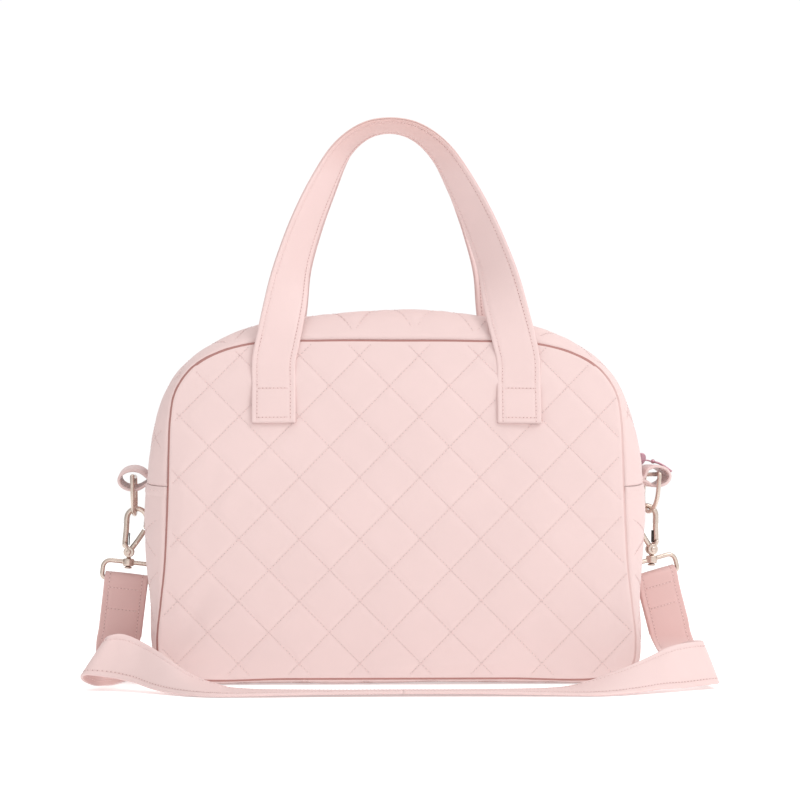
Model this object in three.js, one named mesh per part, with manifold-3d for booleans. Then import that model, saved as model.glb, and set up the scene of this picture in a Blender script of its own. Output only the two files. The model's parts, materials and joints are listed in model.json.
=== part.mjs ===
// A soft bowling-style diaper bag: two quilted panels, a gusset with a zip along its top, two carrying
// handles, and a detachable shoulder strap on snap hooks. Millimetres, +Z up, front towards -Y, origin on
// the floor under the middle of the bag.
import * as THREE from 'three';
import { mergeVertices } from 'three/addons/utils/BufferGeometryUtils.js';
import Module from 'manifold-3d';

const wasm = await Module();
wasm.setup();

// ---- Driving dimensions -----------------------------------------------------------------------------
const WALL = 2.2; // faux leather with its foam backing
const GAP = 0.3; // air between neighbouring pieces
const LINING = 0.6;
const LINING_UNDER = 4; // the gusset's lining, below the outside of the gusset

const PANEL_FOOT = 4; // height of the panels' lower seam
const PANEL_TOP = 279.5; // height of the panels' upper seam
const SEAM_DEPTH_FOOT = 82; // middle of the bag to the panel's seam, at its foot
const SEAM_DEPTH_TOP = 52; // and at its top: the panels lean together
const CREST_DEPTH_FOOT = 60; // middle of the bag to the gusset's rounded crest
const CREST_DEPTH_TOP = 32;

// Half of the panels' seam, from the middle of the bottom round to the middle of the top:
// half width, height, how far the gusset's crest stands outside the seam, how far its middle sinks back.
const OUTLINE = [
  [0, 4, 4, 0], [90, 4, 4, 0], [168, 4, 4, 0], [182, 7, 4.6, 0.2], [190.5, 15, 5.4, 0.4], [193.4, 32, 5.8, 0.9],
  [191, 65, 9, 3.7], [188.4, 92, 14.2, 9.2], [186.8, 130, 18.4, 10.9], [186, 166, 17.8, 7.6],
  [185.8, 190, 15.4, 5.2], [185, 214, 11.2, 4], [182, 234, 7.4, 4.8], [175.5, 247, 6.8, 4],
  [165, 258.8, 7, 1.9], [146, 269.5, 9.6, 4], [117, 277, 14.8, 5], [60, 279.4, 22.5, 6], [0, 279.5, 26, 6],
];
const ROW_LENGTH = 34; // longest facet round the outline
const SHOULDER_ROW_LENGTH = 13; // and on the shoulders, where the slider follows the zip closely
const TAB_SEAM = 166; // height where the top gusset is sewn to the lower gusset
const FLAT_MIDDLE = 0.25; // share of the crest depth over which the gusset's sunk middle is flat

const ZIP_ARC = { x: 93, z: 178, radius: 110 }; // the zip follows this arc round each shoulder
const ZIP_ARC_FADE = { x: [85, 112], z: [150, 166] }; // the gusset leaves the arc over these stretches
const ZIP_OPENING = 6.5; // middle of the zip to the fold of the gusset strip
const ZIP_TAPE_REACH = 12;
const ZIP_TAPE_UNDER = 3; // the tape's upper face, below the outside of the gusset strips
const ZIP_TAPE = 0.8;
const ZIP_CHAIN_INNER = 0.8; // the two rows of teeth leave a slot for the slider's post
const ZIP_CHAIN_OUTER = 3.3;
const ZIP_CHAIN_HEIGHT = 2.3;
const ZIP_START = 4; // along the seam, from the tab seam to the first tooth
const SLIDER = { angle: 1.8, length: 13, width: 9, plate: 1.8, above: 0.2, below: -5, bridge: 3.3 };

const HANDLE_WIDTH = 36;
const HANDLE_THICKNESS = 3.2;
const HANDLE_X = 100;
const HANDLE_CLEARANCE = 1.1; // handle to panel, above the box-stitched ends
const HANDLE_BOX_FOOT = 210.6;
const HANDLE_BOX_TOP = 241;

const TAB_WIDTH = 26;
const TAB_NECK_X = 203.2;
const TAB_RADII = { x: 12.5, z: 9.2 };
const RING = { half: 17.2, drop: 31.5, wire: 1.8, lean: 4.7 }; // D-ring: bar half length, height, wire radius
const HOOK = { armX: 3.6, bowRadius: 8.2, bowZ: -34.8, wire: 2.2, noseZ: -41.5 };
const BARREL = { x: 0.3, z: -63, radius: 4.4, half: 4 };
const GATE = { tipX: -11.9, tipZ: -43.6, width: 3.2, half: 1.7, eye: 3.4 };
const COLLAR = { top: -68.4, bottom: -74.8, radius: 4.6 };
const LOOP = { half: 20.6, height: 15, wire: 1.9, barZ: -71.4, shoulder: 6, corner: 3.2 };
const STRAP_WIDTH = 36;
const STRAP_THICKNESS = 2.4;
const STRAP_END_THICKNESS = 5.2;
const STRAP_END_REACH = 136; // the ring's bar to the strap end's lower edge
const STRAP_EYE = 4.6; // outer radius of the strap's fold round the loop's lower bar

// Left and right hardware hang alike, with their own small leans, as the strap pulls them.
const SIDES = {
  left: { sign: -1, tabX: 217.6, tabZ: 166.4, lean: 3, tilt: 3.5, turn: 0 },
  right: { sign: 1, tabX: 218, tabZ: 168.5, lean: -1, tilt: 16, turn: 13 },
};
const RING_BAR_LIFT = 1.2; // the ring's bar sits this far above the middle of the tab

// ---- Materials --------------------------------------------------------------------------------------
const finish = (color, roughness, metalness = 0) => () =>
  new THREE.MeshStandardMaterial({ color, roughness, metalness });
const leather = finish(0xf0d3cf, 0.55);
const handleLeather = finish(0xf3d6d2, 0.5);
const backing = finish(0xd9aaa4, 0.6);
const liningCloth = finish(0xe9dcd6, 0.85);
const tapeCloth = finish(0xe5bcb9, 0.85);
const teeth = finish(0xd9a3ab, 0.4);
const roseNickel = finish(0xcdb8a6, 0.28, 1);
const zipMetal = finish(0xb98290, 0.4, 1);
const springSteel = finish(0x3a3532, 0.45, 1);
const boardFibre = finish(0xcfc4bd, 0.8);
const elastic = finish(0xe0c5c0, 0.8);

// ---- Geometry helpers -------------------------------------------------------------------------------
const radians = THREE.MathUtils.degToRad;
const lerp = THREE.MathUtils.lerp;
const smoothstep = THREE.MathUtils.smoothstep;
const vector = (x, y, z) => new THREE.Vector3(x, y, z);

function signedVolume(geometry) {
  const position = geometry.attributes.position;
  const index = geometry.index.array;
  const [a, b, c] = [new THREE.Vector3(), new THREE.Vector3(), new THREE.Vector3()];
  let volume = 0;
  for (let i = 0; i < index.length; i += 3) {
    a.fromBufferAttribute(position, index[i]);
    b.fromBufferAttribute(position, index[i + 1]);
    c.fromBufferAttribute(position, index[i + 2]);
    volume += a.dot(b.cross(c));
  }
  return volume / 6;
}

// Shared vertices merged, so the body is closed, and every face turned outwards.
function closed(geometry) {
  geometry.deleteAttribute('normal');
  geometry.deleteAttribute('uv');
  const merged = mergeVertices(geometry, 1e-4);
  if (signedVolume(merged) < 0) {
    const index = merged.index.array;
    for (let i = 0; i < index.length; i += 3) {
      [index[i], index[i + 1]] = [index[i + 1], index[i]];
    }
  }
  merged.computeVertexNormals();
  return merged;
}

function fromFaces(points, triangles) {
  const geometry = new THREE.BufferGeometry();
  const numbers = points.flatMap((point) => point.toArray());
  geometry.setAttribute('position', new THREE.Float32BufferAttribute(numbers, 3));
  geometry.setIndex(triangles.flat());
  return closed(geometry);
}

// A wall between two grids of points with the same rows and columns.
function wall(outer, inner) {
  const rows = outer.length;
  const columns = outer[0].length;
  const at = (side, row, column) => (side * rows + row) * columns + column;
  const triangles = [];
  const quad = (a, b, c, d) => triangles.push([a, b, c], [a, c, d]);
  for (let r = 0; r < rows - 1; r++) {
    for (let c = 0; c < columns - 1; c++) {
      quad(at(0, r, c), at(0, r, c + 1), at(0, r + 1, c + 1), at(0, r + 1, c));
      quad(at(1, r, c), at(1, r + 1, c), at(1, r + 1, c + 1), at(1, r, c + 1));
    }
    quad(at(0, r, 0), at(0, r + 1, 0), at(1, r + 1, 0), at(1, r, 0));
    quad(at(0, r, columns - 1), at(1, r, columns - 1), at(1, r + 1, columns - 1), at(0, r + 1, columns - 1));
  }
  for (let c = 0; c < columns - 1; c++) {
    quad(at(0, 0, c), at(1, 0, c), at(1, 0, c + 1), at(0, 0, c + 1));
    quad(at(0, rows - 1, c), at(0, rows - 1, c + 1), at(1, rows - 1, c + 1), at(1, rows - 1, c));
  }
  return fromFaces([...outer.flat(), ...inner.flat()], triangles);
}

// A flat band along a centreline: each station has a middle point and its full width vector.
function ribbon(stations, thickness) {
  const outer = [];
  const inner = [];
  for (let i = 0; i < stations.length; i++) {
    const before = stations[Math.max(i - 1, 0)].point;
    const after = stations[Math.min(i + 1, stations.length - 1)].point;
    const tangent = after.clone().sub(before).normalize();
    const { point, width } = stations[i];
    const lift = tangent.cross(width.clone().normalize()).normalize().multiplyScalar(thickness / 2);
    const half = width.clone().multiplyScalar(0.5);
    const near = point.clone().sub(half);
    const far = point.clone().add(half);
    outer.push([near.clone().add(lift), far.clone().add(lift)]);
    inner.push([near.sub(lift), far.sub(lift)]);
  }
  return wall(outer, inner);
}

const smoothCurve = (points) => new THREE.CatmullRomCurve3(points, false, 'catmullrom');

// A smooth band through hand-placed stations [x, y, z, width x, width y, width z].
function smoothRibbonStations(rows, width, steps) {
  const middle = smoothCurve(rows.map((row) => vector(row[0], row[1], row[2])));
  const across = smoothCurve(rows.map((row) => vector(row[3], row[4], row[5])));
  const stations = [];
  for (let i = 0; i <= steps; i++) {
    const direction = across.getPoint(i / steps).normalize();
    stations.push({ point: middle.getPoint(i / steps), width: direction.multiplyScalar(width) });
  }
  return stations;
}

function circle(radius, sides) {
  const shape = new THREE.Shape();
  for (let i = 0; i < sides; i++) {
    const angle = ((i + 0.5) / sides) * 2 * Math.PI;
    const point = [radius * Math.cos(angle), radius * Math.sin(angle)];
    if (i === 0) shape.moveTo(...point);
    else shape.lineTo(...point);
  }
  return shape;
}

function openTube(points, radius, steps, sides = 8) {
  const path = new THREE.CatmullRomCurve3(points, false, 'centripetal');
  const section = circle(radius, sides);
  return closed(new THREE.ExtrudeGeometry(section, { steps, extrudePath: path, bevelEnabled: false }));
}

function ringTube(path, radius, steps, sides = 8) {
  return closed(new THREE.TubeGeometry(path, steps, radius, sides, true));
}

function cylinder(radius, from, to, sides = 14) {
  const axis = to.clone().sub(from);
  const geometry = new THREE.CylinderGeometry(radius, radius, axis.length(), sides);
  const turn = new THREE.Quaternion().setFromUnitVectors(vector(0, 1, 0), axis.normalize());
  geometry.applyQuaternion(turn);
  geometry.translate(...from.clone().add(to).multiplyScalar(0.5).toArray());
  return closed(geometry);
}

function box(low, high) {
  const size = high.map((value, i) => value - low[i]);
  const geometry = new THREE.BoxGeometry(...size);
  geometry.translate(...high.map((value, i) => (value + low[i]) / 2));
  return closed(geometry);
}

function toManifold(geometry) {
  const mesh = new wasm.Mesh({
    numProp: 3,
    vertProperties: new Float32Array(geometry.attributes.position.array),
    triVerts: new Uint32Array(geometry.index.array),
  });
  return new wasm.Manifold(mesh);
}

function fromManifold(manifold) {
  const mesh = manifold.getMesh();
  const geometry = new THREE.BufferGeometry();
  geometry.setAttribute('position', new THREE.Float32BufferAttribute(mesh.vertProperties, 3));
  geometry.setIndex([...mesh.triVerts]);
  return closed(geometry);
}

function join(...parts) {
  return fromManifold(parts.map(toManifold).reduce((sum, part) => sum.add(part)));
}

function cut(body, ...tools) {
  let rest = toManifold(body);
  for (const tool of tools) rest = rest.subtract(toManifold(tool));
  return fromManifold(rest);
}

// ---- The bag's outline ------------------------------------------------------------------------------
const mirrored = ([x, z, rise, sink]) => [-x, z, rise, sink];
const stationRows = [mirrored(OUTLINE[1]), ...OUTLINE, mirrored(OUTLINE.at(-2))];
const stationPlaces = [0];
for (let i = 1; i < stationRows.length; i++) {
  const [x0, z0] = stationRows[i - 1];
  const [x1, z1] = stationRows[i];
  stationPlaces.push(stationPlaces[i - 1] + Math.hypot(x1 - x0, z1 - z0));
}
const FIRST_PLACE = stationPlaces[1];
const HALF_LENGTH = stationPlaces.at(-2) - FIRST_PLACE;
const outlineSpline = new THREE.CubicInterpolant(stationPlaces, stationRows.flat(), 4, new Float64Array(4));

const seamDepth = (z) => {
  return lerp(SEAM_DEPTH_FOOT, SEAM_DEPTH_TOP, (z - PANEL_FOOT) / (PANEL_TOP - PANEL_FOOT));
};
const crestDepth = (z) => lerp(CREST_DEPTH_FOOT, CREST_DEPTH_TOP, z / PANEL_TOP);

// A point on the seam: place runs from 0 at the bottom middle, up the right side, to twice HALF_LENGTH.
function seamPoint(place) {
  const onLeft = place > HALF_LENGTH;
  const half = onLeft ? 2 * HALF_LENGTH - place : place;
  const [x, z, rise, sink] = outlineSpline.evaluate(FIRST_PLACE + Math.abs(half));
  const flip = onLeft !== half < 0 ? -1 : 1;
  return { x: flip * x, z, rise, sink };
}

function seamStation(place) {
  const station = seamPoint(place);
  const before = seamPoint(place - 0.5);
  const after = seamPoint(place + 0.5);
  const length = Math.hypot(after.x - before.x, after.z - before.z);
  station.outX = (after.z - before.z) / length;
  station.outZ = (before.x - after.x) / length;
  station.middle = middleRise(station);
  return station;
}

// How far the sunk middle of the gusset stands outside the seam. Round each shoulder it follows the
// zip's arc, so that the slider can run along it.
function middleRise(station) {
  const x = Math.abs(station.x) - ZIP_ARC.x;
  const z = station.z - ZIP_ARC.z;
  const along = x * Math.abs(station.outX) + z * station.outZ;
  const inside = ZIP_ARC.radius ** 2 - x * x - z * z + along * along;
  const toArc = Math.sqrt(Math.max(inside, 0)) - along;
  const besideTop = smoothstep(Math.abs(station.x), ...ZIP_ARC_FADE.x);
  const aboveTab = smoothstep(station.z, ...ZIP_ARC_FADE.z);
  return lerp(station.rise - station.sink, toArc, besideTop * aboveTab);
}

// Height of the gusset's outside over the seam, at a distance from the bag's middle plane.
function swell(station, depth) {
  const crest = crestDepth(station.z);
  const seam = seamDepth(station.z);
  const a = Math.abs(depth);
  if (a > crest) return station.rise * Math.sin((Math.PI / 2) * ((seam - a) / (seam - crest)));
  const climb = smoothstep(a / crest, FLAT_MIDDLE, 1);
  return lerp(station.middle, station.rise, climb);
}

function swellPoint(station, depth, under = 0) {
  const slope = (swell(station, depth + 0.1) - swell(station, depth - 0.1)) / 0.2;
  const stretch = Math.min(Math.hypot(1, slope), 2);
  const reach = swell(station, depth) - under * stretch;
  const x = station.x + station.outX * reach;
  const z = Math.max(station.z + station.outZ * reach, under);
  return vector(x, depth, z);
}

// Places round the seam between two ends, no further apart than a facet, and closer round the corners.
function seamPlaces(from, to) {
  const marks = stationPlaces.slice(1, -1).map((place) => place - FIRST_PLACE);
  const all = [...marks.map((m) => -m), ...marks, ...marks.map((m) => 2 * HALF_LENGTH - m)];
  const inside = all.filter((mark) => mark > from + 2 && mark < to - 2);
  const stops = [from, ...new Set(inside.map((m) => Number(m.toFixed(4)))), to].sort((a, b) => a - b);
  const places = [from];
  for (let i = 1; i < stops.length; i++) {
    const { x, z } = seamPoint((stops[i] + stops[i - 1]) / 2);
    const onShoulder = Math.abs(x) > ZIP_ARC_FADE.x[0] && z > TAB_SEAM;
    const longest = onShoulder ? SHOULDER_ROW_LENGTH : ROW_LENGTH;
    const steps = Math.max(1, Math.ceil((stops[i] - stops[i - 1]) / longest));
    for (let k = 1; k <= steps; k++) places.push(lerp(stops[i - 1], stops[i], k / steps));
  }
  return places;
}

const TAB_PLACE = stationPlaces[OUTLINE.findIndex(([, z]) => z === TAB_SEAM) + 1] - FIRST_PLACE;

// A strip of the gusset between two distances from the middle plane, from one place to another.
function gussetStrip(from, to, depths, under, thickness) {
  const outer = [];
  const inner = [];
  for (const place of seamPlaces(from, to)) {
    const station = seamStation(place);
    const row = depths(station);
    outer.push(row.map((depth) => swellPoint(station, depth, under)));
    inner.push(row.map((depth) => swellPoint(station, depth, under + thickness)));
  }
  return wall(outer, inner);
}

// Distances across one half of the gusset, from its seam edge to an inner edge.
function halfDepths(station, setBack, innerEdge, detail) {
  const edge = seamDepth(station.z) - setBack;
  const crest = crestDepth(station.z);
  const outside = detail.outside.map((share) => lerp(edge, crest, share));
  const inside = detail.inside.map((share) => lerp(crest, innerEdge, share));
  return [...outside, ...inside];
}
const FINE = { outside: [0, 0.45, 1], inside: [0.35, 0.75, 1] };
const COARSE = { outside: [0, 1], inside: [0.35, 0.75, 1] };

function fullDepths(station, setBack, detail) {
  const half = halfDepths(station, setBack, 0, detail);
  return [...half.map((depth) => -depth), ...half.slice(0, -1).reverse()];
}

// ---- Flat pieces on the leaning panels --------------------------------------------------------------
// Takes x across, y up and z out of the panel to their place on the front (-1) or rear (+1) panel.
function ontoPanel(geometry, side, offset) {
  const lean = (SEAM_DEPTH_FOOT - SEAM_DEPTH_TOP) / (PANEL_TOP - PANEL_FOOT);
  const depth = side * (SEAM_DEPTH_FOOT + lean * PANEL_FOOT + offset);
  const shear = new THREE.Matrix4().set(1, 0, 0, 0, 0, -side * lean, side, depth, 0, 1, 0, 0, 0, 0, 0, 1);
  geometry.applyMatrix4(shear);
  return closed(geometry);
}

function panelShape(inset) {
  const places = seamPlaces(0, 2 * HALF_LENGTH).slice(0, -1);
  const points = places.map((place) => {
    const station = seamStation(place);
    return new THREE.Vector2(station.x - station.outX * inset, station.z - station.outZ * inset);
  });
  return new THREE.Shape(points);
}

function roundedShape(left, bottom, right, top, radius, topRadius = radius) {
  const shape = new THREE.Shape();
  shape.moveTo(left + radius, bottom);
  shape.lineTo(right - radius, bottom);
  shape.absarc(right - radius, bottom + radius, radius, -Math.PI / 2, 0);
  shape.lineTo(right, top - topRadius);
  shape.absarc(right - topRadius, top - topRadius, topRadius, 0, Math.PI / 2);
  shape.lineTo(left + topRadius, top);
  shape.absarc(left + topRadius, top - topRadius, topRadius, Math.PI / 2, Math.PI);
  shape.lineTo(left, bottom + radius);
  shape.absarc(left + radius, bottom + radius, radius, Math.PI, 1.5 * Math.PI);
  return shape;
}

function slab(shape, depth) {
  return new THREE.ExtrudeGeometry(shape, { depth, bevelEnabled: false, curveSegments: 3 });
}

// ---- The scene graph --------------------------------------------------------------------------------
const bag = new THREE.Group();
function add(name, geometry, material) {
  const mesh = new THREE.Mesh(geometry, material());
  mesh.name = name;
  bag.add(mesh);
}

function addShell() {
  const edge = WALL + GAP;
  for (const [name, side] of [['front', -1], ['rear', 1]]) {
    add(`${name}_panel`, ontoPanel(slab(panelShape(0), WALL), side, -WALL), leather);
    const from = TAB_PLACE + GAP;
    const strip = (station) => halfDepths(station, edge, ZIP_OPENING, FINE).map((depth) => side * depth);
    add(`top_gusset_${name}`, gussetStrip(from, 2 * HALF_LENGTH - from, strip, 0, WALL), leather);
  }
  const across = (station) => fullDepths(station, edge, FINE);
  add('lower_gusset', gussetStrip(-TAB_PLACE, TAB_PLACE, across, 0, WALL), leather);
}

function addLining() {
  const under = LINING_UNDER;
  const panelEdge = 7.5;
  const setBack = WALL + LINING + 3 * GAP;
  for (const [name, side] of [['front', -1], ['rear', 1]]) {
    const offset = -(WALL + GAP + LINING);
    add(`${name}_lining`, ontoPanel(slab(panelShape(panelEdge), LINING), side, offset), liningCloth);
    const from = TAB_PLACE + 2;
    const strip = (station) => {
      return halfDepths(station, setBack, ZIP_TAPE_REACH + 1, COARSE).map((depth) => side * depth);
    };
    add(`top_lining_${name}`, gussetStrip(from, 2 * HALF_LENGTH - from, strip, under, LINING), liningCloth);
  }
  const across = (station) => fullDepths(station, setBack, COARSE);
  add('lower_lining', gussetStrip(-TAB_PLACE, TAB_PLACE, across, under, LINING), liningCloth);
  const boardFoot = LINING_UNDER + LINING + GAP;
  const board = slab(roundedShape(-166, -58, 166, 58, 14), 2);
  add('base_board', closed(board.translate(0, 0, boardFoot)), boardFibre);
}

function addPockets() {
  const deep = WALL + 2 * GAP + LINING;
  const cloth = 0.7;
  const band = 1.5;
  for (const [name, side, half, top] of [['front', -1, 125, 165], ['rear', 1, 95, 185]]) {
    const pocket = slab(roundedShape(-half, 40, half, top, 12), cloth);
    add(`${name}_pocket`, ontoPanel(pocket, side, -(deep + cloth)), liningCloth);
    const binding = slab(roundedShape(-half, top + GAP, half, top + 12, 1.5), band);
    add(`${name}_pocket_elastic`, ontoPanel(binding, side, -(deep + band)), elastic);
  }
}

function addZip() {
  const from = TAB_PLACE + ZIP_START;
  const to = 2 * HALF_LENGTH - from;
  const chainUnder = ZIP_TAPE_UNDER - GAP - ZIP_CHAIN_HEIGHT;
  for (const [name, side] of [['front', -1], ['rear', 1]]) {
    const tape = () => [ZIP_TAPE_REACH, 8, ZIP_CHAIN_INNER].map((depth) => side * depth);
    add(`zip_tape_${name}`, gussetStrip(from, to, tape, ZIP_TAPE_UNDER, ZIP_TAPE), tapeCloth);
    const chain = () => [side * ZIP_CHAIN_OUTER, side * ZIP_CHAIN_INNER];
    add(`zip_teeth_${name}`, gussetStrip(from, to, chain, chainUnder, ZIP_CHAIN_HEIGHT), teeth);
  }
  for (const [name, side] of [['right', 1], ['left', -1]]) {
    const foot = TAB_SEAM + 0.8;
    const outside = ZIP_ARC.x + Math.sqrt(ZIP_ARC.radius ** 2 - (foot + 1 - ZIP_ARC.z) ** 2);
    const low = side > 0 ? outside - 2.1 : -outside - 0.2;
    add(`zip_stop_${name}`, box([low, -3.2, foot], [low + 2.3, 3.2, foot + 2.4]), zipMetal);
  }
}

// The slider stands on the zip's arc: out is away from the bag, up is along the zip.
function zipFrame() {
  const angle = radians(SLIDER.angle);
  const turn = new THREE.Matrix4().makeRotationY(-angle);
  const x = ZIP_ARC.x + ZIP_ARC.radius * Math.cos(angle);
  const z = ZIP_ARC.z + ZIP_ARC.radius * Math.sin(angle);
  return turn.setPosition(x, 0, z);
}

function addSlider() {
  const half = SLIDER.length / 2;
  const side = SLIDER.width / 2;
  const top = SLIDER.above + SLIDER.plate;
  const upper = box([SLIDER.above, -side, -half], [top, side, half]);
  const lower = box([SLIDER.below - SLIDER.plate, -side, -half], [SLIDER.below, side, half]);
  const post = box([SLIDER.below - 0.5, -0.5, 1.5], [SLIDER.above + 0.5, 0.5, half - 1]);
  const bridge = box([top - 0.5, -1, -4.5], [6.3, 1, 6]);
  const hood = box([6, -1, -1.2], [9.6, 1, 4]);
  const tunnel = box([top, -2, -2.8], [5, 2, 2.8]);
  const slider = join(cut(bridge, tunnel), hood, upper, lower, post);
  add('zip_slider', closed(slider.applyMatrix4(zipFrame())), zipMetal);

  const axis = vector(SLIDER.bridge, 0, 0).applyMatrix4(zipFrame());
  const bead = vector(218.6, 0, 180.6);
  const eye = new THREE.CatmullRomCurve3(
    [
      vector(axis.x, -2.4, axis.z), vector(axis.x, 2.4, axis.z), vector(axis.x + 3, 2.2, axis.z),
      vector(axis.x + 7.2, 2, axis.z), vector(bead.x - 1, 0.3, bead.z), vector(bead.x - 1, -0.3, bead.z),
      vector(axis.x + 7.2, -2, axis.z), vector(axis.x + 3, -2.2, axis.z),
    ],
    true, 'catmullrom', 0.3,
  );
  const ball = closed(new THREE.SphereGeometry(1.9, 8, 6).translate(bead.x, 0, bead.z));
  const droop = [
    [219.5, 0, 180.2, 0, 1, 0], [224, 0, 178.9, 0, 1, 0], [229, 0, 176, 0, 1, 0], [234.5, 0, 172, 0, 1, 0],
  ];
  const tongue = ribbon(smoothRibbonStations(droop, 5.5, 8), 1.6);
  add('zip_pull', join(ringTube(eye, 0.7, 24, 6), ball, tongue), zipMetal);
}

// ---- Handles ----------------------------------------------------------------------------------------
// Half of a handle's centreline: half spread, height, twist in degrees. The apex comes last.
const HANDLE_PATH = [
  [100, 241.3, 0], [100, 262, 0], [96.5, 280, 0], [90.5, 308, 14], [83.5, 342, 38], [72.5, 375, 47],
  [58.5, 407, 55], [42, 437, 67], [22, 455, 76],
];
const HANDLES = {
  front: { side: -1, apexX: -4, apexZ: 460.5, apexDepth: 22, lift: 0 },
  rear: { side: 1, apexX: -1, apexZ: 468, apexDepth: 20, lift: 7 },
};

function addHandle(name) {
  const { side, apexX, apexZ, apexDepth, lift } = HANDLES[name];
  const out = HANDLE_CLEARANCE + HANDLE_THICKNESS / 2;
  const straightTop = 285;
  const depthAt = (z) => {
    if (z < straightTop) return seamDepth(z) + out;
    return lerp(seamDepth(straightTop) + out, apexDepth, (z - straightTop) / (apexZ - straightTop));
  };
  const raise = (z) => lift * Math.max(0, (z - straightTop) / (HANDLE_PATH.at(-1)[1] - straightTop));
  const leg = (sign) => HANDLE_PATH.map(([x, z, twist]) => {
    const centre = lerp(0, apexX, Math.max(0, (z - straightTop) / (apexZ - straightTop)));
    return { x: sign * x + centre, z: z + raise(z), twist };
  });
  const rows = [...leg(-1), { x: apexX, z: apexZ, twist: 80 }, ...leg(1).reverse()];
  const middle = smoothCurve(rows.map((row) => vector(row.x, side * depthAt(row.z), row.z)));
  const twistPoints = rows.map((row) => vector(row.twist, 0, 0));
  const twists = new THREE.CatmullRomCurve3(twistPoints, false, 'catmullrom', 0.3);
  const steps = 44;
  const stations = [];
  for (let i = 0; i <= steps; i++) {
    const point = middle.getPoint(i / steps);
    const tangent = middle.getTangent(i / steps);
    const twist = radians(Math.max(0, twists.getPoint(i / steps).x));
    const outward = vector(-tangent.z, 0, tangent.x).normalize();
    const towards = vector(0, side, 0);
    towards.addScaledVector(tangent, -towards.dot(tangent)).normalize();
    const width = outward.multiplyScalar(Math.cos(twist)).addScaledVector(towards, Math.sin(twist));
    stations.push({ point, width: width.normalize().multiplyScalar(HANDLE_WIDTH) });
  }
  add(`${name}_handle`, ribbon(stations, HANDLE_THICKNESS), handleLeather);
  for (const [hand, sign] of [['left', -1], ['right', 1]]) {
    const low = sign * HANDLE_X - HANDLE_WIDTH / 2;
    const shape = roundedShape(low, HANDLE_BOX_FOOT, low + HANDLE_WIDTH, HANDLE_BOX_TOP, 1);
    add(`${name}_handle_end_${hand}`, ontoPanel(slab(shape, HANDLE_THICKNESS), side, GAP), handleLeather);
  }
}

// ---- Tabs, rings, hooks and strap loops -------------------------------------------------------------
// Geometry is drawn with x away from the bag and the D-ring's bar at the origin, then leant about the
// bar, turned about the vertical, mirrored for the left side and moved to its tab.
function hang(geometry, side, leans = true) {
  const place = new THREE.Matrix4().makeTranslation(side.sign * side.tabX, 0, side.tabZ + RING_BAR_LIFT);
  place.multiply(new THREE.Matrix4().makeRotationZ(radians(side.turn)));
  place.multiply(new THREE.Matrix4().makeScale(side.sign, 1, 1));
  if (leans) place.multiply(new THREE.Matrix4().makeRotationY(radians(-side.lean)));
  return closed(geometry.clone().applyMatrix4(place));
}

// A profile drawn in x and z, extruded along y about the middle plane.
function acrossProfile(shape, half) {
  const geometry = new THREE.ExtrudeGeometry(shape, { depth: 2 * half, bevelEnabled: false });
  geometry.translate(0, 0, -half);
  geometry.rotateX(Math.PI / 2);
  return closed(geometry);
}

function tabGeometry(side) {
  const skew = Math.sin(radians(side.turn));
  const neckX = TAB_NECK_X + (TAB_WIDTH / 2) * skew - side.tabX;
  const neckZ = TAB_SEAM - side.tabZ;
  const outer = [];
  for (let degrees = -152; degrees <= 152; degrees += 16) {
    const angle = radians(degrees);
    outer.push(new THREE.Vector2(TAB_RADII.x * Math.cos(angle), TAB_RADII.z * Math.sin(angle)));
  }
  outer.push(new THREE.Vector2(neckX, neckZ + WALL), new THREE.Vector2(neckX, neckZ - WALL));
  const shape = new THREE.Shape(outer);
  const hole = new THREE.Path();
  hole.absellipse(0, 0, TAB_RADII.x - WALL, TAB_RADII.z - WALL, 0, 2 * Math.PI, true);
  shape.holes.push(hole);
  const geometry = acrossProfile(shape, TAB_WIDTH / 2);
  return geometry.translate(0, 0, -RING_BAR_LIFT);
}

function ringGeometry() {
  const { half, drop } = RING;
  const shoulder = drop - half;
  const points = [];
  for (const y of [-0.9, -0.45, 0, 0.45, 0.9]) points.push(vector(0, half * y, 0));
  points.push(vector(0, half, -1.6));
  for (let degrees = 0; degrees <= 180; degrees += 18) {
    const angle = radians(degrees);
    points.push(vector(0, half * Math.cos(angle), -shoulder - half * Math.sin(angle)));
  }
  points.push(vector(0, -half, -1.6));
  const ring = ringTube(new THREE.CatmullRomCurve3(points, true, 'centripetal'), RING.wire, 32);
  return ring.rotateY(radians(RING.lean));
}

function hookGeometry() {
  const bowX = HOOK.armX - HOOK.bowRadius;
  const points = [vector(BARREL.x + 1.2, 0, BARREL.z + 2), vector(HOOK.armX - 0.6, 0, BARREL.z + 10)];
  points.push(vector(HOOK.armX, 0, -46), vector(HOOK.armX, 0, -40));
  for (let degrees = 0; degrees <= 180; degrees += 22.5) {
    const angle = radians(degrees);
    const x = bowX + HOOK.bowRadius * Math.cos(angle);
    points.push(vector(x, 0, HOOK.bowZ + HOOK.bowRadius * Math.sin(angle)));
  }
  points.push(vector(bowX - HOOK.bowRadius + 0.4, 0, HOOK.noseZ));
  const bow = openTube(points, HOOK.wire, 26);
  const barrel = crossPin(BARREL.radius, BARREL.half);
  const neckTop = vector(BARREL.x, 0, BARREL.z - BARREL.radius + 0.5);
  const neck = cylinder(1.9, neckTop, vector(BARREL.x, 0, COLLAR.bottom - 1));
  const foot = vector(BARREL.x, 0, COLLAR.bottom - GAP);
  const head = cylinder(3.3, foot, vector(BARREL.x, 0, COLLAR.bottom - 2));
  const slot = GATE.half + 0.35;
  const leverRoom = [0, 13, 27].map((open) => gateLever(slot, GATE.width / 2 + 0.45, 2, 12, open));
  return cut(join(bow, barrel, neck, head), crossPin(GATE.eye + 0.4, slot), ...leverRoom, pinHole());
}

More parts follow.
